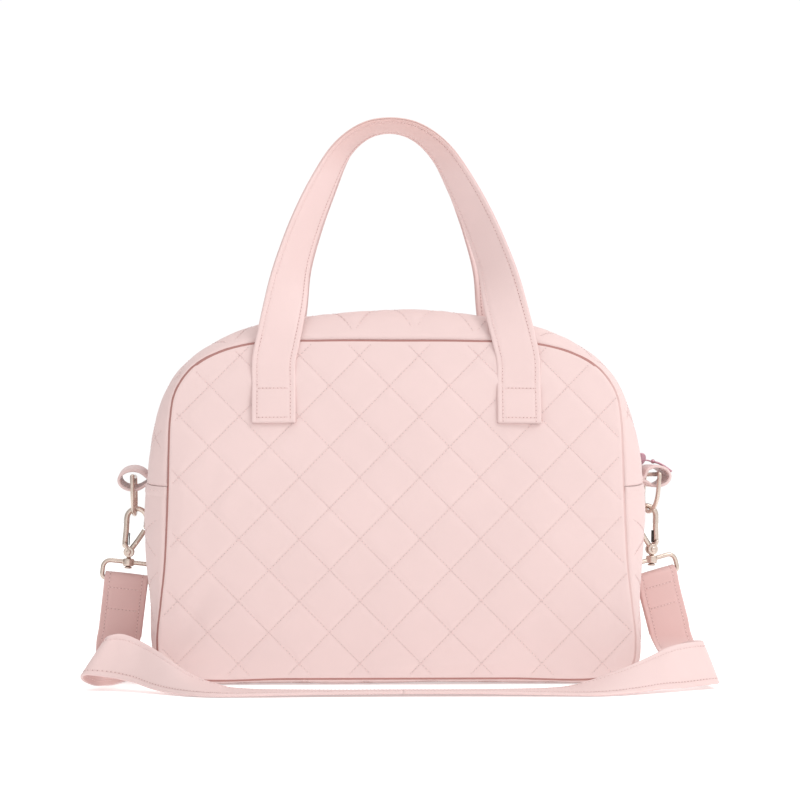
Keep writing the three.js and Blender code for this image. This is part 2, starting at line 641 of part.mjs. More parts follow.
// A cylinder across the bag about the barrel's middle.
function crossPin(radius, half) {
  return cylinder(radius, vector(BARREL.x, -half, BARREL.z), vector(BARREL.x, half, BARREL.z));
}

const PIN = { radius: 1.2, head: 2.1, headHeight: 0.8 };
const pinHole = () => crossPin(PIN.radius + GAP, BARREL.half + 2);

// The gate's lever, as a bar from the barrel's middle towards the hook's nose, opened by some degrees.
function gateLever(halfAcross, halfThick, from, to, open = 0) {
  const lean = Math.atan2(GATE.tipX - BARREL.x, GATE.tipZ - BARREL.z);
  const lever = box([-halfThick, -halfAcross, from], [halfThick, halfAcross, to]);
  lever.rotateY(lean + radians(open));
  return closed(lever.translate(BARREL.x, 0, BARREL.z));
}

function gateGeometry() {
  const reach = Math.hypot(GATE.tipX - BARREL.x, GATE.tipZ - BARREL.z);
  const lever = gateLever(GATE.half, GATE.width / 2, 1, reach);
  return cut(join(lever, crossPin(GATE.eye, GATE.half)), pinHole());
}

function pinGeometry() {
  const end = BARREL.half + GAP;
  const head = (sign) => {
    const inner = vector(BARREL.x, sign * end, BARREL.z);
    return cylinder(PIN.head, inner, vector(BARREL.x, sign * (end + PIN.headHeight), BARREL.z));
  };
  return join(crossPin(PIN.radius, end + 0.2), head(-1), head(1));
}

function loopGeometry(side) {
  const { half, height, corner, shoulder, barZ } = LOOP;
  const bottom = barZ - height;
  const shape = roundedShape(-half, bottom, half, barZ, corner, shoulder);
  const flat = shape.getSpacedPoints(60).slice(0, -1);
  const points = flat.map((point) => vector(point.x, 0, point.y));
  const ring = ringTube(new THREE.CatmullRomCurve3(points, true, 'centripetal'), LOOP.wire, 40);
  const tilted = tiltAboutCollar(ring, side);
  const top = vector(BARREL.x, 0, COLLAR.top);
  const foot = vector(BARREL.x, 0, COLLAR.bottom);
  const collar = cylinder(COLLAR.radius, foot, top);
  const bore = cylinder(2.25, vector(BARREL.x, 0, COLLAR.bottom - 2), vector(BARREL.x, 0, COLLAR.top + 2));
  return cut(join(tilted, collar), bore);
}

// The strap pulls each loop askew: its outer side rises.
function tiltAboutCollar(geometry, side) {
  geometry.translate(0, 0, -LOOP.barZ);
  geometry.rotateY(radians(-side.tilt));
  geometry.translate(BARREL.x, 0, LOOP.barZ);
  return closed(geometry);
}

// The folded strap end: an eye round the loop's lower bar, then two layers sewn together, which slant
// outwards. Its lower edge lies square to the line from the ring's bar, so it swings clear of the strap.
function strapEndGeometry(side) {
  const eyeZ = LOOP.barZ - LOOP.height;
  const half = STRAP_WIDTH / 2;
  const thick = STRAP_END_THICKNESS / 2;
  const eye = cylinder(STRAP_EYE, vector(-half, 0, eyeZ), vector(half, 0, eyeZ), 16);
  const room = cylinder(LOOP.wire + 0.35, vector(-half - 1, 0, eyeZ), vector(half + 1, 0, eyeZ), 16);
  const layers = box([-half, -thick, -STRAP_END_REACH - 12], [half, thick, eyeZ]);
  const whole = tiltAboutCollar(cut(join(eye, layers), room), side);
  const below = box([-60, -20, -STRAP_END_REACH - 40], [60, 20, -STRAP_END_REACH]);
  const drop = STRAP_END_REACH + LOOP.barZ;
  const slant = Math.atan2(BARREL.x + drop * Math.sin(radians(side.tilt)), STRAP_END_REACH);
  return cut(whole, closed(below.rotateY(-slant)));
}

function springGeometry() {
  return box([HOOK.armX - 3.4, -1.2, -57], [HOOK.armX - 2.6, 1.2, -47]);
}

function addSide(name) {
  const side = SIDES[name];
  add(`tab_${name}`, hang(tabGeometry(side), side, false), leather);
  add(`dring_${name}`, hang(ringGeometry(), side), roseNickel);
  add(`hook_${name}`, hang(hookGeometry(), side), roseNickel);
  add(`hook_gate_${name}`, hang(gateGeometry(), side), roseNickel);
  add(`hook_rivet_${name}`, hang(pinGeometry(), side), roseNickel);
  add(`gate_spring_${name}`, hang(springGeometry(), side), springSteel);
  add(`strap_loop_${name}`, hang(loopGeometry(side), side), roseNickel);
  add(`strap_end_${name}`, hang(strapEndGeometry(side), side), backing);
}

// ---- Shoulder strap ---------------------------------------------------------------------------------
// Middle point and direction across the strap, from under the left strap end, round the left turn, along
// the floor in front of the bag, round the right turn and up to the right strap end.
const STRAP_ROUTE = [
  [-229.8, -1.3, 30.2, -1, 0, 0.105], [-230.5, -4, 19, -0.98, 0.05, 0.16], [-229.5, -25, 14.5, -0.8, 0, 0.6],
  [-229, -55, 17.2, -0.34, 0, 0.94], [-230.5, -84, 18.1, 0.12, 0.1, 0.98], [-234, -108, 19, 0.36, 0.16, 0.92],
  [-239, -121.5, 23, 0.52, 0.15, 0.84], [-235.5, -130, 27.4, 0.52, 0.12, 0.84],
  [-221, -131, 27, 0.28, 0.28, 0.91], [-205, -136, 22.8, 0.16, 0.5, 0.84], [-191, -148, 17.6, 0.1, 0.62, 0.76],
  [-176, -163, 12.4, 0, 0.8, 0.6], [-160, -176, 7.6, -0.03, 0.93, 0.33], [-143, -182.5, 4.6, 0, 0.985, 0.16],
  [-122, -183, 2.6, 0, 1, 0.04], [-60, -180, 2.3, 0, 1, -0.03], [0, -178, 2.3, 0, 1, -0.04],
  [60, -179, 2.3, 0, 1, -0.03], [119, -182, 2.6, 0, 1, 0.04], [143, -184.5, 5, 0.02, 0.975, 0.2],
  [161, -181, 8, 0.05, 0.92, 0.37], [180, -171, 11.6, 0.02, 0.84, 0.53], [200, -156, 15.4, -0.16, 0.73, 0.68],
  [218, -144, 18.4, -0.26, 0.4, 0.88], [235, -135, 20.2, -0.3, 0.24, 0.92],
  [244, -128, 20.4, -0.34, 0.2, 0.92], [245, -114, 20, -0.32, 0.18, 0.93], [243.5, -86, 18.6, -0.42, 0.15, 0.89],
  [243.5, -54, 16.5, -0.62, 0.1, 0.75], [244.5, -24, 13.5, -0.86, 0.02, 0.5],
  [240.6, 1.2, 20, -0.97, -0.19, 0.02], [233.9, 2.2, 33.5, -0.968, -0.2235, -0.1146],
];

function addStrap() {
  const steps = 3 * (STRAP_ROUTE.length - 1);
  const stations = smoothRibbonStations(STRAP_ROUTE, STRAP_WIDTH, steps);
  add('shoulder_strap', ribbon(stations, STRAP_THICKNESS), leather);
}

addShell();
addLining();
addPockets();
addZip();
addSlider();
addHandle('front');
addHandle('rear');
addSide('left');
addSide('right');
addStrap();

export default bag;
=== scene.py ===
import math

import bpy
import numpy as np
from mathutils import Matrix, Vector
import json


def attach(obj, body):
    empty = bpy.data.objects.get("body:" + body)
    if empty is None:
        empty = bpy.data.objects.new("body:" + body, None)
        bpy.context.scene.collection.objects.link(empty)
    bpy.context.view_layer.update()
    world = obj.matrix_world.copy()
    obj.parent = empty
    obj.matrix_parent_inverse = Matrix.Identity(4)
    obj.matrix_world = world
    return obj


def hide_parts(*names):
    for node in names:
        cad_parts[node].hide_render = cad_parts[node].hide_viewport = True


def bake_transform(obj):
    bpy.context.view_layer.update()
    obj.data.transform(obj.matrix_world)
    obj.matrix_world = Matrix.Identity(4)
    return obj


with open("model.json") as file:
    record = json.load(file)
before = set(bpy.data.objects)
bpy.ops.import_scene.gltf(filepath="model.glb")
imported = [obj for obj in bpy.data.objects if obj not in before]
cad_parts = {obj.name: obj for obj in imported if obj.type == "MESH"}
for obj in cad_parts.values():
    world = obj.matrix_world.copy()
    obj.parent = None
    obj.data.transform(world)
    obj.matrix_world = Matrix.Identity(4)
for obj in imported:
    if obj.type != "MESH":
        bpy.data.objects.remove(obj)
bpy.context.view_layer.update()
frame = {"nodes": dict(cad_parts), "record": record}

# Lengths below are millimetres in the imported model's frame, and MM turns them into metres.
MM = 0.001
ROOT = "bag"

# ---- The bag's shape, as in the CAD ----
WALL = 2.2
PANEL_FOOT, PANEL_TOP = 4.0, 279.5
SEAM_DEPTH_FOOT, SEAM_DEPTH_TOP = 82.0, 52.0
CREST_DEPTH_FOOT, CREST_DEPTH_TOP = 60.0, 32.0
# Half width, height, rise of the gusset's crest over the seam, sink of its middle.
OUTLINE = [
    (0, 4, 4, 0), (90, 4, 4, 0), (168, 4, 4, 0), (182, 7, 4.6, 0.2), (190.5, 15, 5.4, 0.4), (193.4, 32, 5.8, 0.9),
    (191, 65, 9, 3.7), (188.4, 92, 14.2, 9.2), (186.8, 130, 18.4, 10.9), (186, 166, 17.8, 7.6),
    (185.8, 190, 15.4, 5.2), (185, 214, 11.2, 4), (182, 234, 7.4, 4.8), (175.5, 247, 6.8, 4),
    (165, 258.8, 7, 1.9), (146, 269.5, 9.6, 4), (117, 277, 14.8, 5), (60, 279.4, 22.5, 6), (0, 279.5, 26, 6),
]
TAB_SEAM_ROW = 9
TAB_SEAM = 166.0
FLAT_MIDDLE = 0.25
ZIP_ARC = (93.0, 178.0, 110.0)
ZIP_OPENING = 6.5
ZIP_FROM_TAB = 4.0
TEETH_UNDER = 0.4
TEETH_HEIGHT = 2.3
SLIDER_ANGLE = 1.8
PANEL_LEAN = (SEAM_DEPTH_FOOT - SEAM_DEPTH_TOP) / (PANEL_TOP - PANEL_FOOT)

HANDLE_WIDTH, HANDLE_THICKNESS, HANDLE_CLEARANCE = 36.0, 3.2, 1.1
HANDLE_FOOT, HANDLE_BOX_TOP, HANDLE_STRAIGHT = 210.6, 241.0, 285.0
HANDLE_PATH = [
    (100, 241.3, 0), (100, 262, 0), (96.5, 280, 0), (90.5, 308, 14), (83.5, 342, 38),
    (72.5, 375, 47), (58.5, 407, 55), (42, 437, 67), (22, 455, 76),
]
HANDLES = {
    "front": {"side": -1, "apex": (-4, 460.5, 22), "lift": 0},
    "rear": {"side": 1, "apex": (-1, 468, 20), "lift": 7},
}

TAB_WIDTH, TAB_NECK_X, TAB_RADII = 26.0, 203.2, (12.5, 9.2)
RING_HALF, RING_DROP, RING_WIRE, RING_LEAN, RING_BAR_LIFT = 17.2, 31.5, 1.8, 4.7, 1.2
BOW_X, BOW_Z, BOW_RADIUS, HOOK_WIRE, HOOK_ARM_X, HOOK_NOSE_Z = -4.6, -34.8, 8.2, 2.2, 3.6, -41.5
BARREL_X, BARREL_Z, BARREL_RADIUS, BARREL_HALF = 0.3, -63.0, 4.4, 4.0
GATE_TIP, GATE_WIDTH, GATE_HALF, GATE_EYE = (-11.9, -43.6), 3.2, 1.7, 3.4
COLLAR_TOP, COLLAR_RADIUS = -68.4, 4.6
LOOP_HALF, LOOP_HEIGHT, LOOP_WIRE, LOOP_BAR_Z = 20.6, 15.0, 1.9, -71.4
STRAP_WIDTH, STRAP_THICKNESS = 36.0, 2.4
SIDES = {
    "left": {"sign": -1, "tab_x": 217.6, "tab_z": 166.4, "lean": 3, "tilt": 3.5, "turn": 0},
    "right": {"sign": 1, "tab_x": 218.0, "tab_z": 168.5, "lean": -1, "tilt": 16, "turn": 13},
}
# Middle and across direction of the strap on the floor, from the left strap end to the right one.
STRAP_ROUTE = [
    (-229.8, -1.3, 30.2, -1, 0, 0.105), (-230.5, -4, 19, -0.98, 0.05, 0.16), (-229.5, -25, 14.5, -0.8, 0, 0.6),
    (-229, -55, 17.2, -0.34, 0, 0.94), (-230.5, -84, 18.1, 0.12, 0.1, 0.98), (-234, -108, 19, 0.36, 0.16, 0.92),
    (-239, -121.5, 23, 0.52, 0.15, 0.84), (-235.5, -130, 27.4, 0.52, 0.12, 0.84),
    (-221, -131, 27, 0.28, 0.28, 0.91), (-205, -136, 22.8, 0.16, 0.5, 0.84), (-191, -148, 17.6, 0.1, 0.62, 0.76),
    (-176, -163, 12.4, 0, 0.8, 0.6), (-160, -176, 7.6, -0.03, 0.93, 0.33), (-143, -182.5, 4.6, 0, 0.985, 0.16),
    (-122, -183, 2.6, 0, 1, 0.04), (-60, -180, 2.3, 0, 1, -0.03), (0, -178, 2.3, 0, 1, -0.04),
    (60, -179, 2.3, 0, 1, -0.03), (119, -182, 2.6, 0, 1, 0.04), (143, -184.5, 5, 0.02, 0.975, 0.2),
    (161, -181, 8, 0.05, 0.92, 0.37), (180, -171, 11.6, 0.02, 0.84, 0.53), (200, -156, 15.4, -0.16, 0.73, 0.68),
    (218, -144, 18.4, -0.26, 0.4, 0.88), (235, -135, 20.2, -0.3, 0.24, 0.92),
    (244, -128, 20.4, -0.34, 0.2, 0.92), (245, -114, 20, -0.32, 0.18, 0.93), (243.5, -86, 18.6, -0.42, 0.15, 0.89),
    (243.5, -54, 16.5, -0.62, 0.1, 0.75), (244.5, -24, 13.5, -0.86, 0.02, 0.5),
    (240.6, 1.2, 20, -0.97, -0.19, 0.02), (233.9, 2.2, 33.5, -0.968, -0.2235, -0.1146),
]
STRAP_MIDDLE_ROW = 16

# ---- Visual details ----
QUILT_PERIOD = (48.8, 49.8)  # across and up, between crossings of the quilting
QUILT_CROSSING = (-5.7, 42.0)  # one crossing on the front panel
QUILT_PUFF, QUILT_GROOVE = 0.55, 3.2  # height of the padding and width of the stitched channels
PANEL_REACH = (194, 276)  # half width and top of the panel's quilting
PANEL_CELLS = (232, 166)
PANEL_BULGE, PANEL_BULGE_REACH = 6.0, 38.0
CELL = 1.7  # mesh spacing on the quilted leather
STITCH_PITCH, STITCH_LENGTH, STITCH_RADIUS = 3.4, 2.3, 0.27
STITCH_LIFT = 0.1  # the thread's middle over the leather
HOLE_LONG, HOLE_WIDE = 0.55, 0.42  # half sizes of the dark discs of painted shade at the needle holes between stitches
HOLE_AHEAD = 0.74  # from a stitch's middle to the next hole, as a share of its length
TOPSTITCH_PITCH, TOPSTITCH_LENGTH, TOPSTITCH_RADIUS, BAND_STITCH_RADIUS = 3.0, 2.1, 0.28, 0.3
TAB_ROW = 9.5  # stitch rows of the tabs, from their middle
EDGE_ROW = 4.5  # stitch rows of handles and strap, from their edges
SEAM_MARGIN = 4  # the quilting stops this far from the panel's seam
SURFACE_STEP = 0.6  # between surface points that give a stitch its direction
FLOOR_GAP, INNER_FLOOR = 0.05, 2.3  # lowest outside and inside of the gusset
ZIP_ROW = 4.2  # topstitching beside the zip, from the fold of the gusset strip
FLOOR_SIZE, FLOOR_DROP = 12.0, 0.0002  # metres; half the floor's side, and its depth under the bag

PINK = (0.730, 0.556, 0.538)
HANDLE_PINK = (0.735, 0.556, 0.538)
THREAD_PINK = (0.76, 0.56, 0.54)
# Painted shade in the seam's valley, and a lighter one for the side facing the key light.
SEAM_VALLEY_SHADE, SEAM_LIT_SIDE_SHADE = (0.40, 0.19, 0.17), (0.62, 0.43, 0.41)
# Painted shade over the handles' tops, where the band's underside is seen.
HANDLE_TOP_SHADE_TINT = (0.92, 0.82, 0.79)
STRAP_BACK_AND_END_SHADE_TINT = (0.90, 0.78, 0.765)  # the strap's back is deeper in tone; the same tint is painted shade on the fronts of its sewn ends
TAB_SEAM_DIP = 7.0  # the tab seam runs lower beside the panels than at the tab
TAB_DROOP = {"left": 0.16, "right": 0.04}
LINING_TINT = (0.80, 0.72, 0.68)


def smoothstep(x, low, high):
    t = np.clip((np.asarray(x, float) - low) / (high - low), 0, 1)
    return t * t * (3 - 2 * t)


# ---- Camera and light ----
# Degrees round the bag and upwards, then metres.
CAMERA_AZIMUTH, CAMERA_PITCH = 2.26, 2.35
CAMERA_DISTANCE, CAMERA_HEIGHT, CAMERA_ASIDE = 2.0, 0.150, 0.0052
CAMERA_LENS, CAMERA_SENSOR = 107.15, 36
SHADED_SIDE, LIT_SIDE = 0.5, 1.02  # the world's strength to the left of the bag and elsewhere


def add_camera():
    azimuth = math.radians(CAMERA_AZIMUTH)
    data = bpy.data.cameras.new("camera")
    data.lens, data.sensor_width = CAMERA_LENS, CAMERA_SENSOR
    camera = bpy.data.objects.new("camera", data)
    across = Vector((math.cos(azimuth), -math.sin(azimuth), 0))
    behind = Vector((-math.sin(azimuth), -math.cos(azimuth), 0)) * CAMERA_DISTANCE
    camera.location = behind + Vector((0, 0, CAMERA_HEIGHT)) + CAMERA_ASIDE * across
    camera.rotation_euler = (math.pi / 2 + math.radians(CAMERA_PITCH), 0, -azimuth)
    bpy.context.collection.objects.link(camera)
    bpy.context.scene.camera = camera


def add_area(name, place, size, power, color=(1, 1, 1), target=(0, 0, 0.2)):
    data = bpy.data.lights.new(name, "AREA")
    data.shape, data.size, data.energy, data.color = "DISK", size, power, color
    light = bpy.data.objects.new(name, data)
    light.location = place
    light.rotation_euler = (Vector(target) - Vector(place)).to_track_quat("-Z", "Y").to_euler()
    bpy.context.collection.objects.link(light)


def add_world():
    """White all round, dimmer towards the left so that the shell's left side falls into shade."""
    world = bpy.data.worlds.new("studio")
    bpy.context.scene.world = world
    world.use_nodes = True
    tree = world.node_tree
    background = tree.nodes["Background"]
    place = tree.nodes.new("ShaderNodeTexCoord")
    split = tree.nodes.new("ShaderNodeSeparateXYZ")
    ramp = tree.nodes.new("ShaderNodeMapRange")
    for name, value in (
        ("From Min", -1.0), ("From Max", -0.2), ("To Min", SHADED_SIDE), ("To Max", LIT_SIDE),
    ):
        ramp.inputs[name].default_value = value
    tree.links.new(place.outputs["Generated"], split.inputs[0])
    tree.links.new(split.outputs["X"], ramp.inputs["Value"])
    tree.links.new(ramp.outputs[0], background.inputs["Strength"])
    background.inputs["Color"].default_value = (1, 1, 1, 1)


add_camera()
add_world()
bpy.context.scene.view_settings.view_transform = "Standard"
add_area("key", (1.3, -1.2, 1.7), 0.9, 13, (1.0, 0.985, 0.97))
add_area("top", (0.1, -0.1, 1.9), 1.2, 3)


# ---- Materials ----
class Shader:
    """A Principled material with short helpers for the nodes that feed it."""

    def __init__(self, name, roughness, metallic=0.0, **sockets):
        self.material = bpy.data.materials.new(name)
        self.material.use_nodes = True
        self.tree = self.material.node_tree
        self.principled = self.tree.nodes["Principled BSDF"]
        self.set("Roughness", roughness)
        self.set("Metallic", metallic)
        for socket, value in sockets.items():
            self.set(socket.replace("_", " "), value)
        self.place = self.tree.nodes.new("ShaderNodeTexCoord").outputs["Object"]

    def set(self, socket, value):
        self.principled.inputs[socket].default_value = value

    def node(self, kind, inputs=(), **settings):
        node = self.tree.nodes.new(kind)
        for name, value in settings.items():
            setattr(node, name, value)
        for name, value in dict(inputs).items():
            if isinstance(value, bpy.types.NodeSocket):
                self.tree.links.new(value, node.inputs[name])
            else:
                node.inputs[name].default_value = value
        return node

    def noise(self, scale, detail=3.0, vector=None):
        inputs = {"Vector": vector or self.place, "Scale": scale, "Detail": detail, "Roughness": 0.55}
        return self.node("ShaderNodeTexNoise", inputs).outputs[0]

    def cells(self, scale):
        inputs = {"Vector": self.place, "Scale": scale}
        return self.node("ShaderNodeTexVoronoi", inputs, feature="DISTANCE_TO_EDGE").outputs["Distance"]

    def wave(self, scale, direction, distortion=0.0):
        inputs = {"Vector": self.place, "Scale": scale, "Distortion": distortion}
        return self.node("ShaderNodeTexWave", inputs, bands_direction=direction).outputs["Fac"]

    def span(self, value, low, high, to_low=0, to_high=1):
        inputs = {"Value": value, "From Min": low, "From Max": high, "To Min": to_low, "To Max": to_high}
        return self.node("ShaderNodeMapRange", inputs).outputs[0]

    def math(self, operation, a, b):
        return self.node("ShaderNodeMath", {0: a, 1: b}, operation=operation).outputs[0]

    def stretch(self, spans):
        """1 on one stretch of the object, falling to 0 over each (axis, low, high) given, in metres."""
        split = self.node("ShaderNodeSeparateXYZ", {0: self.place})
        share = 1.0
        for axis, low, high in spans:
            share = self.math("MULTIPLY", self.span(split.outputs[axis], low, high), share)
        return share

    def ramp(self, factor, dark, light):
        ramp = self.node("ShaderNodeValToRGB", {"Fac": factor})
        ramp.color_ramp.elements[0].color = (*dark, 1)
        ramp.color_ramp.elements[1].color = (*light, 1)
        return ramp.outputs["Color"]

    def color(self, factor, dark, light):
        self.tree.links.new(self.ramp(factor, dark, light), self.principled.inputs["Base Color"])

    def two_colors(self, share, factor, first, second):
        """Mottled first colour where share is 0, mottled second colour where it is 1."""
        tones = [self.ramp(factor, shade(tone, 0.965), shade(tone, 1.02)) for tone in (first, second)]
        mix = self.node("ShaderNodeMix", data_type="RGBA")
        for socket, value in zip((0, 6, 7), (share, *tones)):
            self.tree.links.new(value, mix.inputs[socket])
        self.tree.links.new(mix.outputs[2], self.principled.inputs["Base Color"])

    def roughness(self, value):
        self.tree.links.new(value, self.principled.inputs["Roughness"])

    def bump(self, *layers):
        below = None
        for height, distance, strength in layers:
            inputs = {"Height": height, "Distance": distance, "Strength": strength}
            if below is not None:
                inputs["Normal"] = below
            below = self.node("ShaderNodeBump", inputs).outputs[0]
        self.tree.links.new(below, self.principled.inputs["Normal"])


def shade(color, factor):
    return tuple(channel * factor for channel in color)


def tinted(color, tint):
    return tuple(a * b for a, b in zip(color, tint))


def leather(name, color, roughness=0.5, painted_shade=None, spans=()):
    """Fine-grained leather which, if given a second colour, has it painted on as shade over the stretch that spans
    describe.
    """
    s = Shader(name, roughness, Sheen_Weight=0.08, Sheen_Roughness=0.5, Specular_IOR_Level=0.38)
    broad = s.noise(14, 4)
    grain = s.cells(1150)
    fine = s.noise(2600, 2)
    mixed = s.math("ADD", s.math("MULTIPLY", broad, 0.7), s.math("MULTIPLY", fine, 0.3))
    mottle = s.span(mixed, 0.3, 0.7)
    if painted_shade:
        s.two_colors(s.stretch(spans), mottle, color, painted_shade)
    else:
        s.color(mottle, shade(color, 0.965), shade(color, 1.02))
    s.roughness(s.span(broad, 0.3, 0.7, roughness - 0.05, roughness + 0.06))
    pebbles, pores = (s.span(grain, 0, 0.22), 0.00012, 0.10), (fine, 0.00005, 0.10)
    s.bump(pebbles, pores, (s.noise(170), 0.0005, 0.08))
    return s.material


def cloth(name, color, pitch):
    """A plain weave with its threads pitch millimetres apart."""
    s = Shader(name, 0.85, Sheen_Weight=0.25)
    scale = 2 * math.pi / (20 * pitch * MM)
    warp, weft = s.wave(scale, "X"), s.wave(scale, "Z")
    weave = s.math("ADD", s.math("MULTIPLY", warp, 0.5), s.math("MULTIPLY", weft, 0.5))
    s.color(s.span(s.math("ADD", weave, s.noise(300)), 0.4, 1.6), shade(color, 0.8), shade(color, 1.04))
    s.bump((weave, 0.0002, 0.5), (s.noise(900), 0.0001, 0.3))
    return s.material


def thread(name, color):
    s = Shader(name, 0.55, Sheen_Weight=0.3)
    twist = s.wave(260, "DIAGONAL", 1.5)
    s.color(twist, shade(color, 0.86), shade(color, 1.05))
    s.bump((twist, 0.0001, 0.5))
    return s.material


def metal(name, color, roughness):
    s = Shader(name, roughness, 1.0)
    cloudy = s.noise(90, 4)
    drawn_out = s.node("ShaderNodeMapping", {"Vector": s.place, "Scale": (1, 1, 0.08)}).outputs[0]
    brushed = s.noise(1400, 3, drawn_out)
    s.color(s.span(cloudy, 0.3, 0.7), shade(color, 0.9), shade(color, 1.05))
    s.roughness(s.span(brushed, 0.3, 0.7, roughness - 0.06, roughness + 0.10))
    s.bump((brushed, 0.00004, 0.25), (cloudy, 0.0002, 0.08))
    return s.material


def moulded(name, color, roughness):
    s = Shader(name, roughness, Specular_IOR_Level=0.5)
    cloudy = s.noise(120, 3)
    s.color(s.span(cloudy, 0.3, 0.7), shade(color, 0.92), shade(color, 1.04))
    s.roughness(s.span(cloudy, 0.3, 0.7, roughness - 0.06, roughness + 0.08))
    s.bump((s.noise(1500, 2), 0.00008, 0.3))
    return s.material


def seam_shade():
    """Painted shade for the dark line in a seam's valley, lighter past x 160 to 184 mm, on the side that faces the
    key light.
    """
    s = Shader("seam_shade", 0.7)
    s.two_colors(s.stretch([("X", 0.160, 0.184)]), s.span(s.noise(90), 0.3, 0.7), SEAM_VALLEY_SHADE, SEAM_LIT_SIDE_SHADE)
    s.bump((s.noise(1500, 2), 0.00008, 0.3))
    return s.material


# The strap's back colour; the same tone is painted shade on the fronts of its sewn ends.
STRAP_BACK_AND_END_SHADE_TONE = tinted(HANDLE_PINK, STRAP_BACK_AND_END_SHADE_TINT)
MATERIALS = {
    "panel_leather": leather("quilted_pink_leather", PINK),
    # Painted shade: the handles' tops, above 418 to 458 mm, take the deeper tone.
    "handle_leather": leather(
        "handle_pink_leather", HANDLE_PINK, 0.46, tinted(HANDLE_PINK, HANDLE_TOP_SHADE_TINT), [("Z", 0.418, 0.458)]
    ),
    # Painted shade: the strap's sewn ends, above 22 to 34 mm and behind y -30 to -14 mm, take the deeper tone.
    "strap_leather": leather(
        "strap_pink_leather", HANDLE_PINK, 0.46, STRAP_BACK_AND_END_SHADE_TONE, [("Z", 0.022, 0.034), ("Y", -0.030, -0.014)]
    ),
    "tab_leather": leather("tab_pink_leather", shade(PINK, 0.97), 0.48),
    "lining_cloth": cloth("woven_lining", LINING_TINT, 0.5),
    "elastic_binding": cloth("ribbed_elastic", (0.74, 0.58, 0.55), 1.2),
    "base_board": moulded("base_board_fibre", (0.62, 0.56, 0.53), 0.8),
    "zip_tape": cloth("zip_tape_weave", (0.80, 0.55, 0.55), 0.8),
    "zip_teeth": moulded("zip_coil", (0.78, 0.50, 0.54), 0.38),
    "zip_metal": metal("pink_zip_metal", (0.50, 0.28, 0.33), 0.34),
    "rose_nickel": metal("satin_rose_nickel", (0.64, 0.53, 0.46), 0.26),
    "spring_steel": metal("dark_spring_steel", (0.05, 0.045, 0.04), 0.55),
}
MATERIALS["gusset_leather"] = MATERIALS["panel_leather"]
SEAM_SHADE = seam_shade()
STRAP_BACK = leather("strap_back_leather", STRAP_BACK_AND_END_SHADE_TONE, 0.5)
THREAD = thread("pink_thread", THREAD_PINK)
# Painted shade: dark discs at the needle holes, softer on the quilting, deeper on handles and strap.
SOFT_HOLE_SHADE = moulded("soft_needle_hole_shade", shade(PINK, 0.80), 0.7)
DEEP_HOLE_SHADE = moulded("deep_needle_hole_shade", (0.46, 0.27, 0.25), 0.7)


# ---- Mesh helpers ----
def make(name, points, faces, material, slot, body=None, replaced=(), sharp=None):
    """A smooth mesh object from millimetre points and faces of three or more corners."""
    mesh = bpy.data.meshes.new(name)
    mesh.from_pydata((np.asarray(points, float) * MM).tolist(), [], [list(f) for f in faces])
    mesh.validate()
    mesh.shade_smooth()
    if sharp:
        mesh.set_sharp_from_angle(angle=math.radians(sharp))
    mesh.materials.append(material)
    obj = bpy.data.objects.new(name, mesh)
    bpy.context.collection.objects.link(obj)
    if replaced:
        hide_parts(*replaced)
    if body:
        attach(obj, body)
    return obj


def join_parts(parts):
    points, faces, start = [], [], 0
    for part_points, part_faces in parts:
        points.append(np.asarray(part_points, float))
        faces.extend([[start + i for i in face] for face in part_faces])
        start += len(part_points)
    return np.concatenate(points), faces


def quads(rows, columns, wrap_rows=False, wrap_columns=False):
    r = np.arange(rows if wrap_rows else rows - 1)
    c = np.arange(columns if wrap_columns else columns - 1)
    r, c = np.meshgrid(r, c, indexing="ij")
    r, c = r.ravel(), c.ravel()
    r1, c1 = (r + 1) % rows, (c + 1) % columns
    return np.stack([r * columns + c, r * columns + c1, r1 * columns + c1, r1 * columns + c], 1)


def shell(outer, inner):
    """A closed wall between two grids, with its faces turned outwards if outer's are."""
    rows, columns = outer.shape[:2]
    count = rows * columns
    top = quads(rows, columns)
    faces = [*top.tolist(), *(top[:, ::-1] + count).tolist()]
    rim = [r * columns for r in range(rows)] + [(rows - 1) * columns + c for c in range(1, columns)]
    rim += [r * columns + columns - 1 for r in range(rows - 2, -1, -1)] + list(range(columns - 2, 0, -1))
    for a, b in zip(rim, rim[1:] + rim[:1]):
        faces.append([a, b, b + count, a + count])
    return np.concatenate([outer.reshape(-1, 3), inner.reshape(-1, 3)]), faces


def unit(vectors):
    return vectors / np.maximum(np.linalg.norm(vectors, axis=-1, keepdims=True), 1e-9)


def grid_normals(grid):
    return unit(np.cross(np.gradient(grid, axis=0), np.gradient(grid, axis=1)))


def catmull(rows, per_segment, closed=False):
    """Points of a uniform Catmull-Rom curve through rows, with the ends carried straight on."""
    rows = np.asarray(rows, float)
    if closed:
        ext = np.concatenate([rows[-1:], rows, rows[:2]])
        segments = len(rows)
    else:
        ext = np.concatenate([2 * rows[:1] - rows[1:2], rows, 2 * rows[-1:] - rows[-2:-1]])
        segments = len(rows) - 1
    out = []
    for i in range(segments):
        p0, p1, p2, p3 = ext[i : i + 4]
        for t in np.arange(per_segment) / per_segment:
            a = 2 * p1 + (p2 - p0) * t + (2 * p0 - 5 * p1 + 4 * p2 - p3) * t * t
            out.append(0.5 * (a + (3 * p1 - p0 - 3 * p2 + p3) * t**3))
    if not closed:
        out.append(rows[-1])
    return np.array(out)


def resample(path, spacing):
    """Points, and everything else in path's columns, at an even spacing along its first three."""
    steps = np.linalg.norm(np.diff(path[:, :3], axis=0), axis=1)
    along = np.concatenate([[0], np.cumsum(steps)])
    count = max(2, round(along[-1] / spacing) + 1)
    even = np.linspace(0, along[-1], count)
    return np.stack([np.interp(even, along, path[:, k]) for k in range(path.shape[1])], 1)


